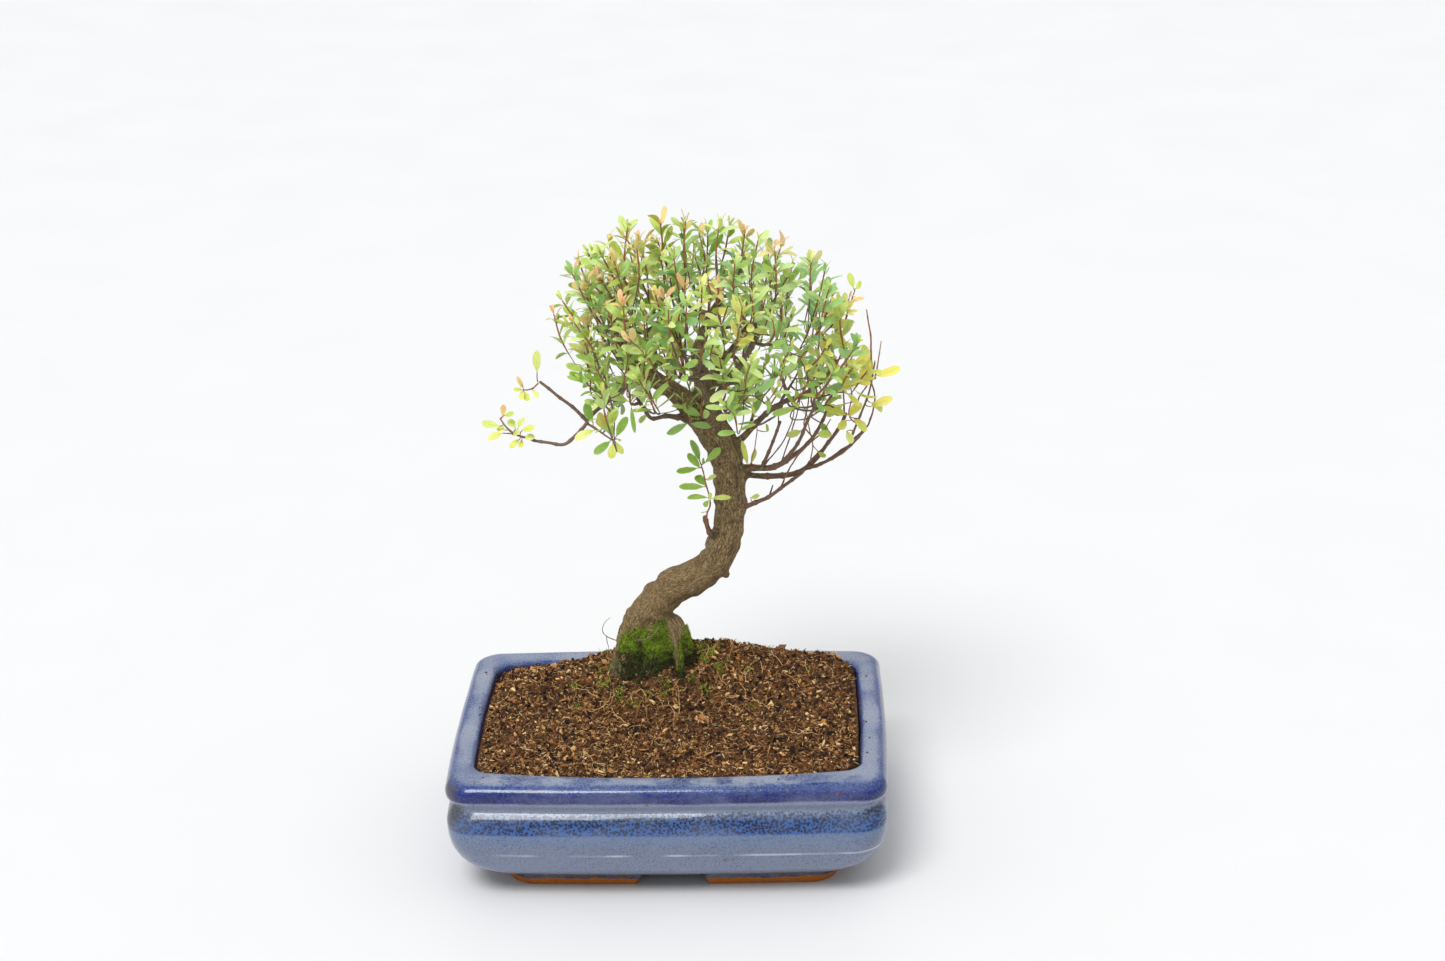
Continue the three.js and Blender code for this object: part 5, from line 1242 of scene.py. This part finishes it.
def make_moss(v, nrm):
    rng = np.random.default_rng(5)
    s = Soup()
    x, y, z = v.T
    n = fnoise(v / 7.0, 3, 0.55, 90)
    facing = nrm[:, 1] * -0.9 + nrm[:, 0] * 0.55 + nrm[:, 2] * 0.25
    m = smoothstep(-0.25, 0.35, facing + 0.5 * n)
    top = np.interp(x, [-27, -24, -20, -14, -11, -8, -3, -1, 1, 4, 7, 11, 15], [84, 88, 92, 93, 90.5, 96, 97, 91, 87.5, 90, 92, 84, 74])
    n2 = fnoise(v / 2.6, 3, 0.6, 93)
    m *= smoothstep(1.5, -1.5, z - top + 3.5 * n + 2.0 * n2) * smoothstep(-27, -21, x + 3 * n) * smoothstep(60, 64, z)
    m *= smoothstep(44, 36, y)
    bare = np.exp(-(((x - 1.5) / 3.6) ** 2) - (((z - 91) / 5.0) ** 2)) + 0.9 * np.exp(-(((x - 1.6 - 0.02 * (90 - z)) / 1.5) ** 2) - (((z - 79) / 8.0) ** 2))
    m *= np.clip(1 - 1.3 * bare, 0, 1) * (0.30 + 0.70 * smoothstep(-0.35, 0.15, n2 + 0.4 * n))
    idx = np.where(m > 0.02)[0]
    w = m[idx] / m[idx].sum()
    pick = rng.choice(idx, size=min(6500, len(idx) * 3), p=w)
    for i in pick:
        base = v[i] + rng.normal(size=3) * 0.25
        bright = smoothstep(78.0, 86.0, base[2] + 9 * n[i] + 4 * n2[i] + rng.normal() * 1.6 + (3.5 if base[0] > 2 else 0))
        tone0 = np.clip(0.08 + 0.66 * bright * (0.75 + 0.5 * n2[i]) + rng.normal() * 0.09, 0, 1)
        for _ in range(4):
            d = unit(nrm[i] + rng.normal(size=3) * 0.55 + [0, 0, 0.25])
            ln = rng.uniform(0.7, 1.7)
            w0 = rng.uniform(0.14, 0.26)
            a = unit(np.cross(d, [0.3, 0.5, 0.8]))
            b = np.cross(d, a)
            mid = base + d * ln * 0.5
            pts = [base - d * 0.2, mid + a * w0, mid - a * w0 * 0.5 + b * w0 * 0.8, mid - a * w0 * 0.5 - b * w0 * 0.8, base + d * ln]
            s.add(pts, {3: [(0, 2, 1), (0, 3, 2), (0, 1, 3), (4, 1, 2), (4, 2, 3), (4, 3, 1)]}, tone=float(np.clip(tone0 + rng.normal() * 0.08, 0, 1)))
    # scattered cushions on the soil near the trunk
    for _ in range(46):
        a = rng.uniform(0, 2 * np.pi)
        rr = 17 + abs(rng.normal()) * 9
        cx, cy = -8 + math.cos(a) * rr * 1.3, 31 + math.sin(a) * rr
        if not in_mouth(np.array(cx), np.array(cy), 3):
            continue
        for _ in range(rng.integers(6, 34)):
            bx, by = cx + rng.normal() * 1.3, cy + rng.normal() * 1.3
            base = np.array([bx, by, float(soil_height(np.array([bx]), np.array([by]))[0]) + 0.2])
            for _ in range(3):
                d = unit(np.array([rng.normal() * 0.5, rng.normal() * 0.5, 1]))
                ln = rng.uniform(0.8, 1.9)
                w0 = rng.uniform(0.14, 0.24)
                aa = unit(np.cross(d, [0.3, 0.5, 0.8]))
                bb = np.cross(d, aa)
                mid = base + d * ln * 0.5
                pts = [base - d * 0.2, mid + aa * w0, mid - aa * w0 * 0.5 + bb * w0 * 0.8, mid - aa * w0 * 0.5 - bb * w0 * 0.8, base + d * ln]
                s.add(pts, {3: [(0, 2, 1), (0, 3, 2), (0, 1, 3), (4, 1, 2), (4, 2, 3), (4, 3, 1)]}, tone=float(np.clip(0.5 + rng.normal() * 0.18, 0, 1)))
    ob = s.build("moss_tufts", moss_material())
    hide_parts("moss")
    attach(ob, "root")


# ------------------------------------------------------------------ crown
CAMERA_AT = np.array([62.523, -1244.135, 638.193])
PLANE_Y = 14.0


def outline_margin(p):
    """How far inside the crown's outline a point lies, seen from the front, in mm."""
    p = np.atleast_2d(p)
    t = (PLANE_Y - CAMERA_AT[1]) / (p[:, 1] - CAMERA_AT[1])
    q = CAMERA_AT[[0, 2]] + (p[:, [0, 2]] - CAMERA_AT[[0, 2]]) * t[:, None]
    poly = np.array(CROWN_OUTLINE)
    a, b = poly, np.roll(poly, -1, 0)
    d = np.full(len(q), 1e9)
    inside = np.zeros(len(q), bool)
    for (ax, ay), (bx, by) in zip(a, b):
        v = np.array([bx - ax, by - ay])
        w = q - (ax, ay)
        u = np.clip((w @ v) / (v @ v), 0, 1)
        d = np.minimum(d, np.linalg.norm(w - u[:, None] * v, axis=1))
        cross = (ay > q[:, 1]) != (by > q[:, 1])
        with np.errstate(divide="ignore", invalid="ignore"):
            xi = ax + (q[:, 1] - ay) / (by - ay) * (bx - ax)
        inside ^= cross & (q[:, 0] < xi)
    return np.where(inside, d, -d)


def crown_depth(x, z):
    return 58 * np.sqrt(np.clip(1 - ((x - 21) / 84) ** 2 - ((z - 250) / 60) ** 2, 0, 1))


LEAF_T = np.array([0, 0.07, 0.17, 0.31, 0.47, 0.63, 0.78, 0.90, 0.97])
LEAF_W = np.array([0.11, 0.14, 0.44, 0.76, 0.95, 1.0, 0.92, 0.68, 0.34])


class Leaves:
    def __init__(self):
        self.items = {}

    def add(self, group, base, tip, width, up, tone, yellow=0.0, red=0.0, blue=0.0, curl=None):
        self.items.setdefault(group, []).append((np.asarray(base, float), np.asarray(tip, float), width, np.asarray(up, float), tone, yellow, red, blue, curl))

    def count(self):
        return sum(len(v) for v in self.items.values())

    def build(self, material):
        rng = np.random.default_rng(404)
        out = []
        for group, items in sorted(self.items.items()):
            n = len(items)
            grid = int(math.ceil(math.sqrt(n)))
            s = Soup()
            uvs = {4: [], 3: []}
            for li, (base, tip, width, up, tone, yellow, red, blue, curl) in enumerate(items):
                d = tip - base
                ln = np.linalg.norm(d)
                d = d / ln
                side = np.cross(d, up)
                if np.linalg.norm(side) < 1e-3:
                    side = np.cross(d, [0.31, 0.2, 0.9])
                side = unit(side)
                nrm = np.cross(side, d)
                arch = (rng.normal(0.06, 0.07) if curl is None else curl) * ln
                fold = rng.uniform(0.06, 0.30)
                twist = rng.normal() * 0.25
                thick = 0.11
                k = len(LEAF_T)
                lw = LEAF_W * width / 2 * (1 + 0.05 * rng.normal(size=k))
                c = base + d * (LEAF_T * ln)[:, None] + nrm * (arch * (4 * LEAF_T * (1 - LEAF_T)) - arch * 1.2 * LEAF_T ** 2)[:, None]
                ang = twist * (LEAF_T - 0.3)
                sd = side * np.cos(ang)[:, None] + nrm * np.sin(ang)[:, None]
                nn = nrm * np.cos(ang)[:, None] - side * np.sin(ang)[:, None]
                el = c + sd * lw[:, None] + nn * (lw * fold)[:, None]
                er = c - sd * lw[:, None] + nn * (lw * fold)[:, None]
                mt = c + nn * thick
                mb = c - nn * thick
                v = np.stack([el, mt, er, mb], 1).reshape(-1, 3)
                end = c[-1] + d * (0.03 * ln)
                v = np.vstack([v, end[None]])
                i = np.arange(k - 1) * 4
                quads = np.vstack([np.stack([i + a, i + b, i + 4 + b, i + 4 + a], 1) for a, b in ((0, 1), (1, 2), (2, 3), (3, 0))])
                e = (k - 1) * 4
                tris = [(e, e + 1, 4 * k), (e + 1, e + 2, 4 * k), (e + 2, e + 3, 4 * k), (e + 3, e, 4 * k), (0, 2, 1), (0, 3, 2)]
                lp = np.stack([np.tile([1.0, 0.0, -1.0, 0.0], k), np.repeat(LEAF_T, 4), np.full(4 * k, li * 1.37 % 7)], 1)
                lp = np.vstack([lp, [[0, 1, li * 1.37 % 7]]])
                s.add(v, {4: quads, 3: tris}, tone=tone, yellow=yellow, red=red, blue=blue, lp=lp)
                # atlas coordinates, top side in the left half of the leaf's cell, underside in the right half; they are
                # kept on the soup and not written to the mesh
                cx, cy = (li % grid) / grid, (li // grid) / grid
                cell = 1.0 / grid

                def at(u, t, under):
                    return (cx + cell * (0.06 + (0.46 if under else 0.0) + 0.21 + 0.19 * u), cy + cell * (0.06 + 0.88 * t))

                across = {0: 1.0, 1: 0.0, 2: -1.0, 3: 0.0}
                for a, b in ((0, 1), (1, 2), (2, 3), (3, 0)):
                    under = a >= 2
                    for q in range(k - 1):
                        t0, t1 = LEAF_T[q], LEAF_T[q + 1]
                        uvs[4].append([at(across[a] * LEAF_W[q], t0, under), at(across[b] * LEAF_W[q], t0, under), at(across[b] * LEAF_W[q + 1], t1, under), at(across[a] * LEAF_W[q + 1], t1, under)])
                w = LEAF_W[-1]
                uvs[3] += [[at(w, 0.975, False), at(0, 0.975, False), at(0, 1, False)], [at(0, 0.975, False), at(-w, 0.975, False), at(0, 1, False)],
                           [at(-w, 0.975, True), at(0, 0.975, True), at(0, 1, True)], [at(0, 0.975, True), at(w, 0.975, True), at(0, 1, True)],
                           [at(0.1, 0, True), at(-0.1, 0, True), at(0, 0.01, True)], [at(0.1, 0, True), at(0, 0.01, True), at(-0.1, 0, True)]]
            s.leaf_uv = uvs
            ob = s.build("leaves_" + group.replace("foliage_", ""), material)
            ob.data.set_sharp_from_angle(angle=math.radians(60))
            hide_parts(group)
            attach(ob, "root")
            out.append(ob)
        return out


def leaf_material():
    m = Mat("leaf")
    lp = m.attr("lp", True)
    u, t, r = m.separate(lp)
    tone, yellow, red, blue = (m.attr(k) for k in ("tone", "yellow", "red", "blue"))
    p = m.coord()
    mott = m.noise(m.coord(), 0.55, 4.0, 0.6)
    green = m.ramp(m.math("ADD", tone, m.math("MULTIPLY", m.math("SUBTRACT", mott, 0.5), 0.25)),
                   [(0.0, (0.070, 0.19, 0.014)), (0.28, (0.19, 0.38, 0.028)), (0.58, (0.41, 0.60, 0.085)), (1.0, (0.76, 0.84, 0.26))])
    base = m.mix(blue, green, (0.22, 0.52, 0.24))
    patch = m.remap(m.noise(m.coord(), 0.30, 3.0, 0.6), 0.40, 0.62, 0.55, 1.0, True)
    base = m.mix(m.math("MULTIPLY", yellow, patch), base, (0.84, 0.70, 0.11))
    base = m.mix(m.math("MULTIPLY", red, m.remap(t, 0.0, 1.0, 0.8, 1.0)), base, (0.92, 0.42, 0.24))
    # a pale midrib, faint side veins and a slightly lighter edge
    au = m.math("ABSOLUTE", u)
    rib = m.remap(au, 0.03, 0.16, 1.0, 0.0, True)
    rib = m.math("MULTIPLY", rib, m.remap(t, 0.5, 0.98, 1.0, 0.1))
    base = m.mix(m.math("MULTIPLY", rib, 0.42), base, (0.42, 0.50, 0.17))
    vein = m.math("SINE", m.math("ADD", m.math("MULTIPLY", t, 46.0), m.math("MULTIPLY", au, -9.0)))
    veins = m.math("MULTIPLY", m.remap(vein, 0.55, 1.0, 0.0, 1.0, True), m.remap(au, 0.95, 0.6, 0.0, 1.0))
    base = m.mix(m.math("MULTIPLY", veins, 0.13), base, (0.35, 0.46, 0.14))
    base = m.mix(m.math("MULTIPLY", m.remap(au, 0.80, 1.0, 0.0, 1.0, True), 0.18), base, (0.46, 0.52, 0.16))
    h = m.math("ADD", m.math("MULTIPLY", veins, -0.25), m.math("MULTIPLY", rib, -0.6))
    h = m.math("ADD", h, m.math("MULTIPLY", mott, 0.5))
    m.set(Base_Color=base, Roughness=m.remap(mott, 0.3, 0.7, 0.36, 0.52), Normal=m.bump(h, 0.00022, 0.6))
    b = m.bsdf.inputs
    b["Subsurface Weight"].default_value = 0.35
    b["Subsurface Radius"].default_value = (0.8, 1.0, 0.25)
    b["Subsurface Scale"].default_value = 0.0012
    b["Specular IOR Level"].default_value = 0.42
    return m.m


def tuft_of(p):
    c = np.array([t[1:4] for t in TUFTS], float)
    r = np.array([t[4] for t in TUFTS], float)
    return TUFTS[int(np.argmin(np.linalg.norm(c - p, axis=1) - r))][0]


SPRIGS = ("foliage_trunk_sprig", "foliage_whip_tip", "foliage_whip_middle", "foliage_whip_twig")


def crown_tuft_of(p):
    rows = [t for t in TUFTS if t[0] not in SPRIGS]
    c = np.array([t[1:4] for t in rows], float)
    r = np.array([t[4] for t in rows], float)
    return rows[int(np.argmin(np.linalg.norm(c - p, axis=1) - r))][0]


def leafy(leaves, twigs, q, start, rng, gap=4.9, size=1.0, yellow=0.0, red_tip=0.0, blue=0.0, group=None, tone=None, density=1.0):
    """Opposite pairs of leaves along the shoot q (x, y, z, r), each pair turned from the last."""
    s = np.concatenate([[0], np.cumsum(np.linalg.norm(np.diff(q[:, :3], axis=0), axis=1))])
    t, a, b = frames_along(q[:, :3])
    total = s[-1]
    pos = start + rng.uniform(0, gap * 0.6)
    turn = rng.uniform(0, np.pi)
    shoot_tone = rng.normal(0.5, 0.17) if tone is None else tone
    while pos < total - 0.5:
        frac = (pos - start) / max(1e-6, total - start)
        i = min(len(s) - 2, int(np.searchsorted(s, pos)))
        at = q[i, :3]
        spread = math.radians(rng.normal(64 - 24 * frac, 11))
        ln = (np.clip(rng.normal(10.3, 1.7), 7, 14) * (1.0 - 0.26 * frac)) * size
        for k in (0, 1):
            if rng.random() > density:
                continue
            az = turn + k * np.pi + rng.normal() * 0.22
            rad = a[i] * math.cos(az) + b[i] * math.sin(az)
            d = unit(t[i] * math.cos(spread) + rad * math.sin(spread) + rng.normal(size=3) * 0.10)
            l2 = max(3.2, ln * rng.uniform(0.82, 1.12))
            base = at + rad * q[i, 3] * 0.8
            up = t[i] * math.sin(spread) - rad * math.cos(spread) + rng.normal(size=3) * 0.50
            y = float(np.clip(yellow + rng.normal() * 0.08 * (yellow > 0) + (rng.random() < 0.02) * 0.6, 0, 1))
            r = float(np.clip(red_tip * smoothstep(0.55, 0.95, frac) + rng.normal() * 0.04, 0, 1))
            tip = base + d * l2
            leaves.add(group or crown_tuft_of(tip * 0.5 + base * 0.5), base, tip, l2 * rng.uniform(0.28, 0.38), up,
                       float(np.clip(shoot_tone + rng.normal() * 0.24 + 0.12 * frac, 0, 1)), y, r, float(np.clip(blue + rng.normal() * 0.12, 0, 1)))
        turn += np.pi / 2 + rng.normal() * 0.15
        pos += gap * rng.uniform(0.8, 1.2) * (1 - 0.35 * frac)
    # the closed bud or newest pair at the tip
    e = q[-1, :3]
    for k in (0, 1):
        az = turn + k * np.pi
        rad = a[-1] * math.cos(az) + b[-1] * math.sin(az)
        d = unit(t[-1] + rad * rng.uniform(0.25, 0.5))
        l2 = rng.uniform(3.6, 6.5) * size
        leaves.add(group or crown_tuft_of(e), e - t[-1] * 0.3, e + d * l2, l2 * rng.uniform(0.26, 0.34), t[-1] - rad,
                   float(np.clip(shoot_tone + 0.25, 0, 1)), float(np.clip(yellow + 0.1, 0, 1)), float(np.clip(red_tip + rng.normal() * 0.05, 0, 1)), 0.0)


def grow_crown(leaves, twigs):
    rng = np.random.default_rng(SEED_CROWN)
    root = np.array([24.0, 20, 188])
    # where the shoots end, spread evenly through the dome
    tips = []
    tries = 0
    while len(tips) < SHOOT_COUNT and tries < 60000:
        tries += 1
        p = rng.uniform([-56, -46, 200], [106, 76, 306])
        if abs(p[1] - 14) > crown_depth(p[0], p[2]):
            continue
        if outline_margin(p)[0] < (3.2 if p[2] > 262 else 4.0):
            continue
        e = np.sqrt(((p[0] - 21) / 76) ** 2 + ((p[1] - 14) / 58) ** 2 + ((p[2] - 246) / 58) ** 2)
        if rng.random() > (0.10 if e < 0.5 else 0.32 if e < 0.72 else 1.0):
            continue
        # the lower right is bare stems
        if p[0] > 40 and p[2] < 214 and rng.random() < 0.75:
            continue
        near = 8.2
        if tips and np.min(np.linalg.norm(np.array(tips) - p, axis=1)) < near:
            continue
        tips.append(p)
    tips = np.array(tips)
    graph, grad = [], []
    for name, pts in WOOD.items():
        if name.startswith("root") or name in ("spur_trunk", "trunk_shoot"):
            continue
        q = catmull(pts, step=2.0)
        if name == "trunk":
            q = q[q[:, 2] > 186]
        if name.startswith("whip"):
            q = q[q[:, 0] > -42]
        graph.append(q[:, :3])
        grad.append(q[:, 3])
    graph = np.vstack(graph)
    grad = np.concatenate(grad)
    plan = []
    for p in tips:
        out = unit(p - root)
        d = unit(0.78 * out + np.array([0, 0, 0.60]) + rng.normal(size=3) * 0.20)
        ln = rng.uniform(22, 38)
        near = np.min(np.linalg.norm(graph - p, axis=1))
        ln = min(ln, max(10.0, near * 0.9))
        foot = p - d * ln
        plan.append((np.min(np.linalg.norm(graph - foot, axis=1)), p, foot, d, ln))
    plan.sort(key=lambda r: r[0])
    for _, tip, foot, d, ln in plan:
        w = graph - foot
        dist = np.linalg.norm(w, axis=1)
        cost = dist + 0.9 * np.clip(graph[:, 2] - foot[2] + 2, 0, None) + np.where(grad < 0.3, 6, 0)
        j = int(np.argmin(cost))
        src, r_src = graph[j], grad[j]
        gapd = np.linalg.norm(foot - src)
        r0 = min(r_src * 0.8, 0.55 + 0.012 * (gapd + ln))
        bend = rng.normal(size=3) * 0.9
        if gapd > 5:
            mid = src * 0.5 + foot * 0.5 + np.array([0, 0, -0.10 * gapd]) + bend * 0.8
            pts = np.array([[*src, r0], [*mid, r0 * 0.85], [*foot, r0 * 0.72], [*(foot * 0.5 + tip * 0.5 + bend), 0.42], [*tip, 0.27]])
        else:
            pts = np.array([[*src, r0], [*(foot * 0.5 + tip * 0.5 + bend), 0.42], [*tip, 0.27]])
        q = catmull(pts, step=1.6)
        s = np.concatenate([[0], np.cumsum(np.linalg.norm(np.diff(q[:, :3], axis=0), axis=1))])
        lead = s[-1] - ln
        cut = int(np.searchsorted(s, max(0, s[-1] - min(ln, 17) - 2)))
        if cut > 2:
            twigs.append((q[: cut + 1], 0.12))
            twigs.append((q[cut:], 0.85))
        else:
            twigs.append((q, 0.85))
        graph = np.vstack([graph, q[2::2, :3]])
        grad = np.concatenate([grad, q[2::2, 3]])
        # colour follows the place in the crown
        x, y, z = tip
        hi = smoothstep(262, 292, z)
        left = smoothstep(20, -30, x)
        right = smoothstep(62, 92, x)
        low = smoothstep(262, 232, z)
        yellow = 0.0
        red = 0.0
        if rng.random() < 0.48 * right + 0.07:
            yellow = rng.uniform(0.35, 0.9)
        if rng.random() < 0.08 + 0.26 * hi + 0.34 * left * smoothstep(225, 250, z):
            red = rng.uniform(0.55, 1.0)
            yellow = max(yellow, rng.uniform(0, 0.35))
        blue = float(np.clip(rng.normal(0.30 + 0.28 * smoothstep(30, 80, x) * smoothstep(225, 250, z), 0.15), 0, 0.85))
        start = max(lead * 0.6, s[-1] - LEAFY_LENGTH)
        leafy(leaves, twigs, q, max(0.5, start), rng, gap=LEAF_GAP, yellow=yellow, red_tip=red, blue=blue, tone=float(np.clip(rng.normal(0.55 + 0.12 * hi - 0.10 * low, 0.15), 0.05, 1)), density=0.93)
    return len(tips)


SEED_CROWN = 11
SHOOT_COUNT = 205
LEAFY_LENGTH = 21.0
LEAF_GAP = 4.9
KIND = {"g": (0.35, 0.0, 0.0, 0.10), "l": (0.75, 0.12, 0.0, 0.0), "y": (0.70, 0.55, 0.0, 0.0), "Y": (0.85, 0.92, 0.04, 0.0), "o": (0.35, 0.62, 0.18, 0.0), "r": (0.5, 0.35, 0.75, 0.0)}


def snap_start(pts):
    """The first point moved onto the nearest limb, when one is close."""
    w = np.vstack([catmull(q, step=1.0)[:, :3] for q in WOOD.values()])
    d = np.linalg.norm(w - pts[0], axis=1)
    if d.min() < 9:
        pts = np.vstack([w[int(np.argmin(d))], pts]) if d.min() > 1.5 else pts
    return pts


def hand_foliage(leaves, twigs):
    rng = np.random.default_rng(3)
    for name, pts, r0, r1, young in HAND_STEMS:
        pts = snap_start(np.array(pts, float))
        p = catmull(np.column_stack([pts, np.linspace(r0, r1, len(pts))]), step=1.2)
        p[:, :3] += 0.18 * np.stack([vnoise(p[:, :3] / 3.0, 70 + k) for k in range(3)], 1)
        twigs.append((p, young))
    bones = np.vstack([catmull(np.array(pts, float), step=0.5)[:, :3] for _, pts, _, _ in HAND_TWIGS] + [catmull(q, step=0.6)[:, :3] for q in WOOD.values()] + [catmull(np.array(q[1], float), step=0.6)[:, :3] for q in HAND_STEMS])
    for base, tip, width, kind in HAND_LEAVES:
        tone, yellow, red, blue = KIND[kind]
        mid = (np.array(base) + np.array(tip)) / 2
        g = tuft_of(mid)
        # broad side towards the front and up, as leaves on free twigs hang
        up = unit(np.array([rng.normal() * 0.25, -0.75, 0.65]))
        # a short stalk back to the twig
        w = bones - np.array(base)
        d = np.linalg.norm(w, axis=1)
        if 0.3 < d.min() < 9:
            j = int(np.argmin(d))
            out = unit(np.array(tip) - np.array(base))
            q = np.array([bones[j], np.array(base) * 0.6 + bones[j] * 0.4 - out * 0.4, np.array(base) + out * 0.4])
            twigs.append((catmull(np.column_stack([q, [0.26, 0.2, 0.17]]), step=0.6), 0.8))
        leaves.add(g, base, tip, width, up, tone + rng.normal() * 0.08, yellow, red, blue, curl=rng.normal(0.02, 0.05))
    for name, pts, r0, r1 in HAND_TWIGS:
        pts = snap_start(np.array(pts, float))
        p = np.column_stack([pts, np.linspace(r0, r1, len(pts)) * 0.8])
        twigs.append((catmull(p, step=1.2), 0.9 if name in ("red_twig", "leaf_stalk", "bare_a", "bare_b", "trunk_shoot") else 0.35))


# ------------------------------------------------------------------ thin wood
def thin_wood(twigs):
    for name, pts in WOOD.items():
        if name.startswith("root") or name == "trunk_shoot":
            continue
        q = wood_line(name, pts, 1.0)
        thin = q[:, 3] <= THIN * 1.12
        if not thin.any():
            continue
        i = max(0, int(np.argmax(thin)) - 3)
        if len(q) - i > 3:
            twigs.append((q[i:], 0.25 if name.startswith("low") else 0.12))
    hair = [(-27.0, 31.0, 83.4), (-32.0, 30.0, 86.5), (-33.6, 28.0, 90.3), (-32.1, 27.0, 94.8), (-29.6, 27.0, 97.3)]
    twigs.append((catmull(np.column_stack([hair, np.linspace(0.22, 0.12, 5)]), step=0.9), 0.3))
    hair = [(-31.8, 30.0, 86.2), (-31.6, 30.0, 83.0), (-30.9, 30.0, 80.1), (-31.4, 29.0, 77.5)]
    twigs.append((catmull(np.column_stack([hair, np.linspace(0.2, 0.1, 4)]), step=0.9), 0.3))
    arc = [(-16.0, 17.0, 90.0), (-12.5, 13.5, 91.5), (-8.5, 13.5, 94.0), (-5.5, 16.5, 97.0)]
    twigs.append((catmull(np.column_stack([arc, np.linspace(0.42, 0.25, 4)]), step=0.9), 0.0))


# ------------------------------------------------------------------ drainage mesh
def make_screens():
    m = Mat("mesh_plastic")
    p = m.coord()
    g = m.noise(p, 1.5, 3.0)
    m.set(Base_Color=m.ramp(g, [(0.3, (0.018, 0.020, 0.024)), (0.7, (0.040, 0.043, 0.048))]), Roughness=m.remap(g, 0.3, 0.7, 0.45, 0.65), Normal=m.bump(g, 0.0001, 0.5))
    for n in ("drain_mesh_left", "drain_mesh_right"):
        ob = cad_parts[n]
        for sl in ob.material_slots:
            sl.material = m.m
        if not ob.material_slots:
            ob.data.materials.append(m.m)


# ------------------------------------------------------------------ stage
def make_stage():
    me = bpy.data.meshes.new("floor")
    r = 14.0
    me.from_pydata([(-r, -r, 0), (r, -r, 0), (r, r, 0), (-r, r, 0)], [], [(0, 1, 2, 3)])
    ob = bpy.data.objects.new("floor", me)
    bpy.context.scene.collection.objects.link(ob)
    m = Mat("pale_floor")
    n = m.noise(m.coord((0.012, 0.012, 0.012)), 1.0, 3.0)
    m.set(Base_Color=m.ramp(n, [(0.3, (0.728, 0.730, 0.733)), (0.7, (0.735, 0.737, 0.740))]), Roughness=m.remap(n, 0.3, 0.7, 0.42, 0.55))
    m.bsdf.inputs["Specular IOR Level"].default_value = 0.25
    me.materials.append(m.m)
    world = bpy.data.worlds.new("studio")
    bpy.context.scene.world = world
    world.use_nodes = True
    # a studio that is brightest overhead and darker behind the viewer
    nt = world.node_tree
    bg = nt.nodes["Background"]
    co = nt.nodes.new("ShaderNodeTexCoord")
    sp = nt.nodes.new("ShaderNodeSeparateXYZ")
    rp = nt.nodes.new("ShaderNodeValToRGB")
    nt.links.new(co.outputs["Generated"], sp.inputs[0])
    nt.links.new(sp.outputs["Z"], rp.inputs[0])
    # a thin bright horizon keeps the backdrop pale in level views
    els = rp.color_ramp.elements
    for pos, k in ((0.05, 0.96), (0.11, 0.54), (0.35, 0.66), (0.95, 1.0)):
        e = els.new(pos)
        e.color = (k * 0.985, k * 0.992, k, 1)
    els[0].color = (0.94, 0.95, 0.96, 1)
    els[len(els) - 1].color = (0.985, 0.992, 1.0, 1)
    nt.links.new(rp.outputs[0], bg.inputs[0])
    bg.inputs[1].default_value = WORLD

    def light(name, kind, loc, target, power, size):
        li = bpy.data.lights.new(name, kind)
        li.energy = power
        if kind == "AREA":
            li.shape = "RECTANGLE"
            li.size, li.size_y = size
        else:
            li.angle = size
        o = bpy.data.objects.new(name, li)
        bpy.context.scene.collection.objects.link(o)
        o.location = loc
        o.rotation_euler = (Vector(target) - Vector(loc)).to_track_quat("-Z", "Y").to_euler()

    light("overhead_front", "SUN", (-0.35, -0.75, 1.15), (0, 0, 0), KEY, math.radians(26))
    light("softbox_strip", "AREA", (-0.12, -0.35, 1.2), (-0.05, -0.08, 0.05), STRIP, (0.26, 0.011))
    bpy.context.scene.view_settings.view_transform = "Standard"


WORLD, KEY, STRIP = 0.95, 2.15, 0.34

# ------------------------------------------------------------------ build
make_camera()
make_stage()
make_pot()
make_soil()
make_litter()
LEAVES, TWIGS = Leaves(), []
hand_foliage(LEAVES, TWIGS)
SHOOTS_MADE = grow_crown(LEAVES, TWIGS)
thin_wood(TWIGS)
WOOD_OB, WOOD_V, WOOD_N = make_wood(TWIGS)
make_moss(WOOD_V, WOOD_N)
LEAVES.build(leaf_material())
make_screens()
print("shoots", SHOOTS_MADE, "leaves", LEAVES.count(), "twigs", len(TWIGS))
